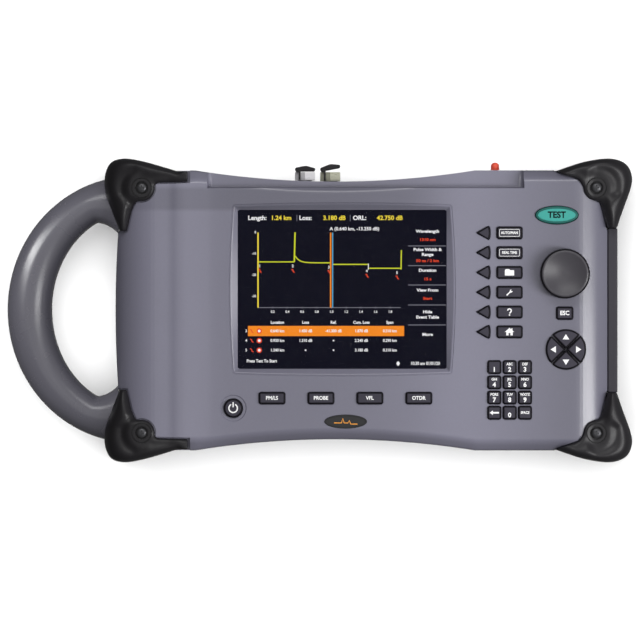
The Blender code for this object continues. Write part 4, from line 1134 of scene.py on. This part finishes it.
def turned_ring(inner, outer, low, high, centre):
    """Tube-shaped cutter round a screw."""
    bm = bmesh.new()
    hoop(bm, [[(x, y, z) for x, y in shift(ellipse((2 * radius,) * 2, 56), centre)]
              for radius, z in ((inner, low), (outer, low), (outer, high), (inner, high))])
    return make_object("ring", bm)


def bumper_top(x, y, corner, outer, inner):
    """Height of a bumper's rubber: rolled outer edge, ridge, and a flat pad round the screw."""
    edge, lip = distance_to((x, y), outer), distance_to((x, y), inner)
    reach = math.hypot(x - corner[0], y - corner[1])
    limb = min(max((abs(corner[1]) - 4.0 - abs(y)) / 8.0, 0.0), 1.0)
    beyond = max(min(lip - 4.0 + 3.0 * limb, reach - 7.8), 0.0)
    pad = front_height(corner[0]) + SCREW_SEAT + 1.3
    near = min(max((12.5 - reach) / 4.0, 0.0), 1.0)
    base = max(front_height(x) + 1.5, bumper_height(x) - 3.6)
    base += max(pad - base, 0.0) * near
    slope = base + beyond * (0.5 + 0.9 * limb)
    roll = 7.0 - math.sqrt(max(49.0 - max(7.0 - edge, 0.0) ** 2, 0.0))
    crest, soft = bumper_height(x) + 1.2 - roll, 1.6
    blend = max(soft - abs(slope - crest), 0.0) / soft
    top = min(slope, crest) - blend * blend * soft / 4.0
    return top - max(1.0 - lip / 1.2, 0.0) ** 2


def make_bumper(name, corner):
    """Rubber corner hollowed by the casing, with a recess and a ring round its screw."""
    outline, outer, inner = bumper_outline(name)
    bumper = solid(f"bumper_{name}_rubber", (outline, 0.0), (outline, BUMPER_BLANK_Z))
    skin = bumper.modifiers.new("skin", "REMESH")
    skin.mode = "VOXEL"
    skin.voxel_size = BUMPER_VOXEL * MM
    bake(bumper)
    for vert in bumper.data.vertices:
        x, y, z = (c / MM for c in vert.co)
        top = bumper_top(x, y, corner, outer, inner)
        foot = 2.2 * max(1.0 - distance_to((x, y), outer) / 4.0, 0.0) ** 2
        vert.co.z = (foot + (top - foot) * min(max(z / BUMPER_BLANK_Z, 0.0), 1.0)) * MM
    relax = bumper.modifiers.new("relax", "SMOOTH")
    relax.iterations = 5
    bake(bumper)
    seat = front_height(corner[0]) + SCREW_SEAT
    profile = [(4.0, seat - 0.5), (4.0, seat + 1.0), (4.3, seat + 1.5), (4.3, seat + 9.0)]
    cutters = [casing_outside(-0.9), turned("screw_seat", profile, (*corner, 0.0), 48),
               turned_ring(6.0, 6.6, seat + 0.3, seat + 9.0, corner),
               rod(1.9, (*corner, 40.0), (*corner, seat), 24)]
    if "left" in name:
        cutters += [box("arm_end", (ARM_END_X, -120.0, -5.0), (ARM_END_X + 20.0, 120.0, 95.0)),
                    handle_sweep("handle_space", 0.5, 80.0, 280.0, 60, 32)]
    else:
        cutters.append(box("limb_end", (150.0, -LIMB_END_Y, -5.0), (220.0, LIMB_END_Y, 95.0)))
    for cutter in cutters:
        carve(bumper, cutter)
    piece(bumper, FIXED, (RUBBER,), (f"bumper_{name}",), sharp=60.0)


def make_screw(name, corner):
    """Pan-head screw with a cross recess."""
    seat = front_height(corner[0]) + SCREW_SEAT + GAP
    head = [(3.1 * math.cos(a), seat + 0.9 + 1.1 * math.sin(a))
            for a in (math.radians(11.25 * k) for k in range(8))]
    profile = [(1.5, 22.0), (1.5, seat), (2.9, seat), (3.1, seat + 0.2), *head]
    screw = turned(f"screw_{name}_head", profile, (*corner, 0.0), 40)
    carve(screw, cross(corner, seat + 0.7, seat + 5.0))
    piece(screw, FIXED, (SCREW,), (f"screw_{name}",))


def make_guard():
    """Side strip with rounded edges and three shallow grip lines."""
    end_y = LIMB_END_Y - 0.15
    guard = box("side_guard_strip", (GUARD_X[0], -end_y, GUARD_Z[0]),
                (GUARD_X[1] + 0.7, end_y, GUARD_Z[1]), 1.0)
    bm = bmesh.new()
    for z in (25.0, 36.5, 48.0):
        add_box(bm, (GUARD_X[1] - 0.5, -GUARD_HALF_Y + 4.0, z - 0.8),
                (GUARD_X[1] + 4.0, GUARD_HALF_Y - 4.0, z + 0.8))
    carve(guard, make_object("grip_lines", bm))
    piece(guard, FIXED, (STRIP,), ("side_guard",))


# Knob, ports, caps, badge

def make_knob():
    """Knob with a finger dish, a rounded rim and fine flutes round its side; its side and lower rim
    are near-black, partly dark rubber and partly painted shade.
    """
    def flutes(radius, height, angle):
        if radius < KNOB_R - 1.0 or height > KNOB_TOP_Z - 2.6:
            return 0.0
        return -0.22 * max(math.cos(angle * 40.0), 0.0)

    rim = 14.0
    side = [(3.0, KNOB_BASE_Z - 7.9), (3.0, KNOB_BASE_Z), (KNOB_R - 0.8, KNOB_BASE_Z),
            (KNOB_R - 0.1, KNOB_BASE_Z + 0.3), (KNOB_R, KNOB_BASE_Z + 1.0),
            (KNOB_R - 0.1, KNOB_BASE_Z + 4.1), (KNOB_R - 0.3, KNOB_TOP_Z - 2.7),
            (KNOB_R - 0.35, KNOB_TOP_Z - 2.5)]
    shoulder = [(rim + 1.9 * math.cos(a), KNOB_TOP_Z - 1.9 + 1.9 * math.sin(a))
                for a in (math.radians(15 * k) for k in range(7))]
    dish = [(rim * t, KNOB_TOP_Z - 3.0 * (1.0 - t * t))
            for t in (0.94, 0.85, 0.7, 0.55, 0.4, 0.25, 0.1)]
    knob = turned("knob_cap", [*side, *shoulder, *dish], (*KNOB_CENTRE, 0.0), 240, ripple=flutes,
                  material=lambda band: 1 if band >= len(side) + 4 else 0)
    piece(knob, BODY_OF["knob"], (KNOB_SKIRT_AND_SHADE, KNOB), ("knob",), sharp=50.0)


def make_port(letter, x):
    """Metal adapter with a raised frame, its sleeve, and the black strap of the dust cap."""
    half = PORT_SIZE / 2
    back = max(waist_y(x - half), waist_y(x + half)) + GAP
    top = PORT_Z + half
    body = box(f"port_{letter}_body", (x - half, back, PORT_Z - half), (x + half, PORT_END_Y, top),
               0.3)
    lean = [(x - half - 1.0, top - 3.4), (x - half + 1.2, top - 2.2), (x - 0.1, top - 0.5),
            (x - 0.1, top + 2.0), (x - half - 1.0, top + 2.0)]
    bm = bmesh.new()
    loft(bm, [[(px, y, pz) for px, pz in lean] for y in (back - 1.0, PORT_END_Y + 1.0)])
    carve(body, make_object("port_step", bm),
          box("port_groove", (x + 0.8, PORT_END_Y - 2.3, top - 0.25),
              (x + 5.6, PORT_END_Y - 1.9, top + 2.0)),
          rod(4.0, (x, PORT_END_Y - 3.5, PORT_Z), (x, PORT_END_Y + 2.0, PORT_Z), 40))
    carve(body, rod(4.5, (x, back + 2.0, PORT_Z), (x, 78.3, PORT_Z), 40), operation="UNION")
    piece(body, FIXED, (PORT_METALS[letter],), (f"port_{letter}",))
    sleeve = rod(1.6, (x, PORT_END_Y - 5.0, PORT_Z), (x, PORT_END_Y - 0.6, PORT_Z), 24)
    sleeve.name = f"port_{letter}_sleeve"
    piece(sleeve, FIXED, (CERAMIC,))
    pivot = (x + CAP_PIVOT[0], CAP_PIVOT[1])
    strap_x = x + STRAP_X
    strap = box(f"port_{letter}_strap", (strap_x - 0.6, back + 0.3, top - 2.0),
                (strap_x + 0.6, PORT_END_Y + 0.6, top + 0.3), 0.2)
    bm = bmesh.new()
    add_box(bm, (pivot[0] - 0.7, PORT_END_Y - 0.2, top - 2.2),
            (strap_x + 0.5, pivot[1], top + 0.2), 0.2)
    add_rod(bm, 0.7, (*pivot, top + 0.4), (*pivot, top - 4.0), 20)
    carve(strap, make_object("lug", bm), rod(1.3, (*pivot, top - 0.5), (*pivot, top + 0.3), 28),
          operation="UNION")
    piece(strap, FIXED, (CAP,))


def make_port_cap(letter, x):
    """Arched dust cap with rounded edges."""
    roof = [(6.6, 90.6), (6.7, 91.9), (0.9, 93.5), (-0.8, 93.4), (-6.0, 92.3), (-6.6, 91.4)]
    outline = soften([(6.0, 89.8), *roof, (-6.3, 90.3), (-5.6, 89.8)], 0.7, 3)
    pivot = (x + CAP_PIVOT[0], CAP_PIVOT[1])
    outline = turn(shift(outline, (x, 0.0)), CAP_REST[letter], pivot)
    top = PORT_Z + PORT_SIZE / 2
    low, high, edge = top - PORT_SIZE + 0.6, top - 0.6, 0.5
    small, smaller = grow(outline, -edge * 0.3), grow(outline, -edge)
    cap = solid(f"port_cap_{letter}_cover", (smaller, low), (small, low + edge * 0.3),
                (outline, low + edge), (outline, high - edge), (small, high - edge * 0.3),
                (smaller, high))
    carve(cap, rod(0.9, (*pivot, top - 4.5), (*pivot, top + 1.0), 20))
    piece(cap, BODY_OF[f"port_cap_{letter}"], (CAP,), (f"port_cap_{letter}",))


def make_vfl_cap():
    """Red push-on cap: domed cup with a rim and grip rings."""
    base, neck, grip, domed = HALF_HEIGHT + GAP, VFL_CAP_R - 0.2, VFL_CAP_R - 0.05, VFL_CAP_R - 0.1
    rings = [(VFL_CAP_R, base), (VFL_CAP_R, base + 0.7), (neck, base + 0.8), (neck, base + 1.1),
             (grip, base + 1.25), (grip, base + 1.6), (neck, base + 1.75), (neck, base + 2.0),
             (domed, base + 2.15)]
    dome = [(domed * math.cos(a), VFL_CAP_END_Y - 2.4 + 2.4 * math.sin(a))
            for a in (math.radians(10 * k) for k in range(9))]
    cap = turned("vfl_cap_cover", [*rings, *dome], (VFL_X, 0.0, PORT_Z), 48, axis="Y")
    carve(cap, rod(1.55, (VFL_X, base - 2.0, PORT_Z), (VFL_X, VFL_CAP_END_Y - 1.2, PORT_Z), 24))
    piece(cap, BODY_OF["vfl_cap"], (RED,), ("vfl_cap",))


def make_badge():
    """Plain oval badge with a pulse waveform."""
    centre = (16.4, -71.7)
    oval = shift(ellipse((27.5, 9.0), 72), centre)
    badge = solid("badge", (oval, PANEL_Z - 0.2), (oval, PANEL_Z + 0.35),
                  (grow(oval, -0.3), PANEL_Z + 0.6), (grow(oval, -0.8), PANEL_Z + 0.6),
                  (grow(oval, -1.0), PANEL_Z + 0.45))
    piece(badge, FIXED, (BADGE,))
    wave = [(-7.5, -0.9), (-2.8, -0.9), (-1.9, 2.0), (-1.0, -0.9), (1.4, -0.9), (2.3, 0.7),
            (3.2, -1.6), (7.5, -1.6)]
    bm = bmesh.new()
    add_line(bm, shift(wave, centre), 0.6, PANEL_Z + 0.46, 0.12)
    piece(make_object("badge_waveform", bm), FIXED, (AMBER_PRINT,))


def finish_inside():
    """Give the carried-over CAD pieces their materials."""
    for node, material in (("display_window", glass()), ("lcd_module", LCD_DARK),
                           ("main_board", BOARD), ("key_mat", MAT), ("battery_pack", BATTERY),
                           ("optical_module", SHIELD)):
        mesh = frame["nodes"][node].data
        mesh.materials.clear()
        mesh.materials.append(material)


# Camera, floor and light

def make_camera():
    """Straight-down camera, centred on the instrument's picture, up along +Y."""
    height, width = 8.0, 0.4128  # metres: the camera's distance, and the frame's width there
    data = bpy.data.cameras.new("camera")
    data.sensor_width = 36.0
    data.lens = 36.0 * (height - PANEL_Z * MM) / width
    data.clip_end = 100.0
    camera = bpy.data.objects.new("camera", data)
    camera.location = (-0.0002, -0.0062, height)
    bpy.context.scene.collection.objects.link(camera)
    bpy.context.scene.camera = camera


def add_light(name, place, aim, size, power, receivers=None):
    data = bpy.data.lights.new(name, "AREA")
    data.shape = "RECTANGLE"
    data.size, data.size_y = size
    data.energy = power
    light = bpy.data.objects.new(name, data)
    light.location = place
    light.rotation_euler = (Vector(aim) - Vector(place)).to_track_quat("-Z", "Y").to_euler()
    light.visible_camera = False
    bpy.context.scene.collection.objects.link(light)
    light.light_linking.receiver_collection = receivers


def make_world():
    """Studio surround: a soft panel overhead with the camera's dark hole in it, dim sides."""
    world = bpy.data.worlds.new("surround")
    bpy.context.scene.world = world
    world.use_nodes = True
    tree = world.node_tree
    where = add_node(tree, "TexCoord")
    split = add_node(tree, "SeparateXYZ", {"Vector": where.outputs["Generated"]})
    level = 1.0
    for axis, start, end, low, high in (("Z", 0.9988, 0.9962, 0.02, 1.0),
                                        ("Z", 0.93, 0.985, 0.30, 1.3),
                                        ("Z", -0.05, 0.12, 0.6, 1.0),
                                        ("X", -1.0, 1.0, 0.6, 1.4)):
        ramp = add_node(tree, "MapRange", {"From Min": start, "From Max": end, "To Min": low,
                                           "To Max": high, "Value": split.outputs[axis]},
                        interpolation_type="SMOOTHSTEP")
        product = add_node(tree, "Math", {0: level, 1: ramp.outputs["Result"]},
                           operation="MULTIPLY")
        level = product.outputs[0]
    background = tree.nodes["Background"]
    background.inputs["Color"].default_value = (1.0, 1.0, 1.0, 1.0)
    tree.links.new(level, background.inputs["Strength"])


def light_group(name, objects, state="INCLUDE"):
    """Collection of the objects that a light reaches, or that it leaves out."""
    group = bpy.data.collections.new(name)
    for obj in objects:
        group.objects.link(obj)
    for member in group.collection_objects:
        member.light_linking.link_state = state
    return group


def make_stage():
    """Pale floor with a light of its own, and the soft boxes of the instrument."""
    bpy.context.scene.view_settings.view_transform = "Standard"
    bm = bmesh.new()
    bmesh.ops.create_grid(bm, x_segments=8, y_segments=8, size=9000.0)
    floor = make_object("floor", bm)
    paper = surface("floor_paper", (0.85, 0.85, 0.85), 0.9, spread=0.004, bump=0.0, specular=0.0)
    floor.data.materials.append(paper)
    floor.visible_diffuse = False
    floor.visible_glossy = False
    grips = [obj for obj in bpy.data.objects if obj.name.startswith(("grip", "carry_handle"))]
    on_floor = light_group("on_floor", [floor])
    on_instrument = light_group("on_instrument", [floor], "EXCLUDE")
    on_handle = light_group("on_handle", grips)
    on_rest = light_group("on_rest", [floor, *grips], "EXCLUDE")
    make_world()
    instrument, handle = (0.03, 0.0, 0.05), (-0.18, 0.0, 0.04)
    add_light("soft_box_right", (0.68, -0.10, 0.74), instrument, (0.18, 0.60), 6.0, on_rest)
    add_light("handle_box_right", (0.41, -0.05, 0.85), handle, (0.10, 0.50), 2.6, on_handle)
    add_light("handle_box_left", (-0.76, 0.32, 0.66), handle, (0.16, 0.60), 7.5, on_handle)
    add_light("soft_box_top", (0.0, 0.8, 1.2), (0.0, 0.0, 0.05), (0.9, 0.35), 6.0, on_instrument)
    add_light("floor_light", (-0.15, 0.25, 2.0), (0.0, 0.0, 0.0), (2.8, 2.8), 112.0, on_floor)


make_camera()
make_front_shell()
make_rear_shell()
make_door()
make_grip()
for corner_name, corner_place in SCREW_CENTRES.items():
    make_bumper(corner_name, corner_place)
    make_screw(corner_name, corner_place)
make_guard()
for key_node, key_centre, key_outline, key_lip in key_table():
    make_key(key_node, key_centre, key_outline)
    make_legend(key_node, key_centre)
make_knob()
for port_letter, port_x in PORT_CENTRES.items():
    make_port(port_letter, port_x)
    make_port_cap(port_letter, port_x)
make_vfl_cap()
make_badge()
draw_picture()
finish_inside()
make_stage()
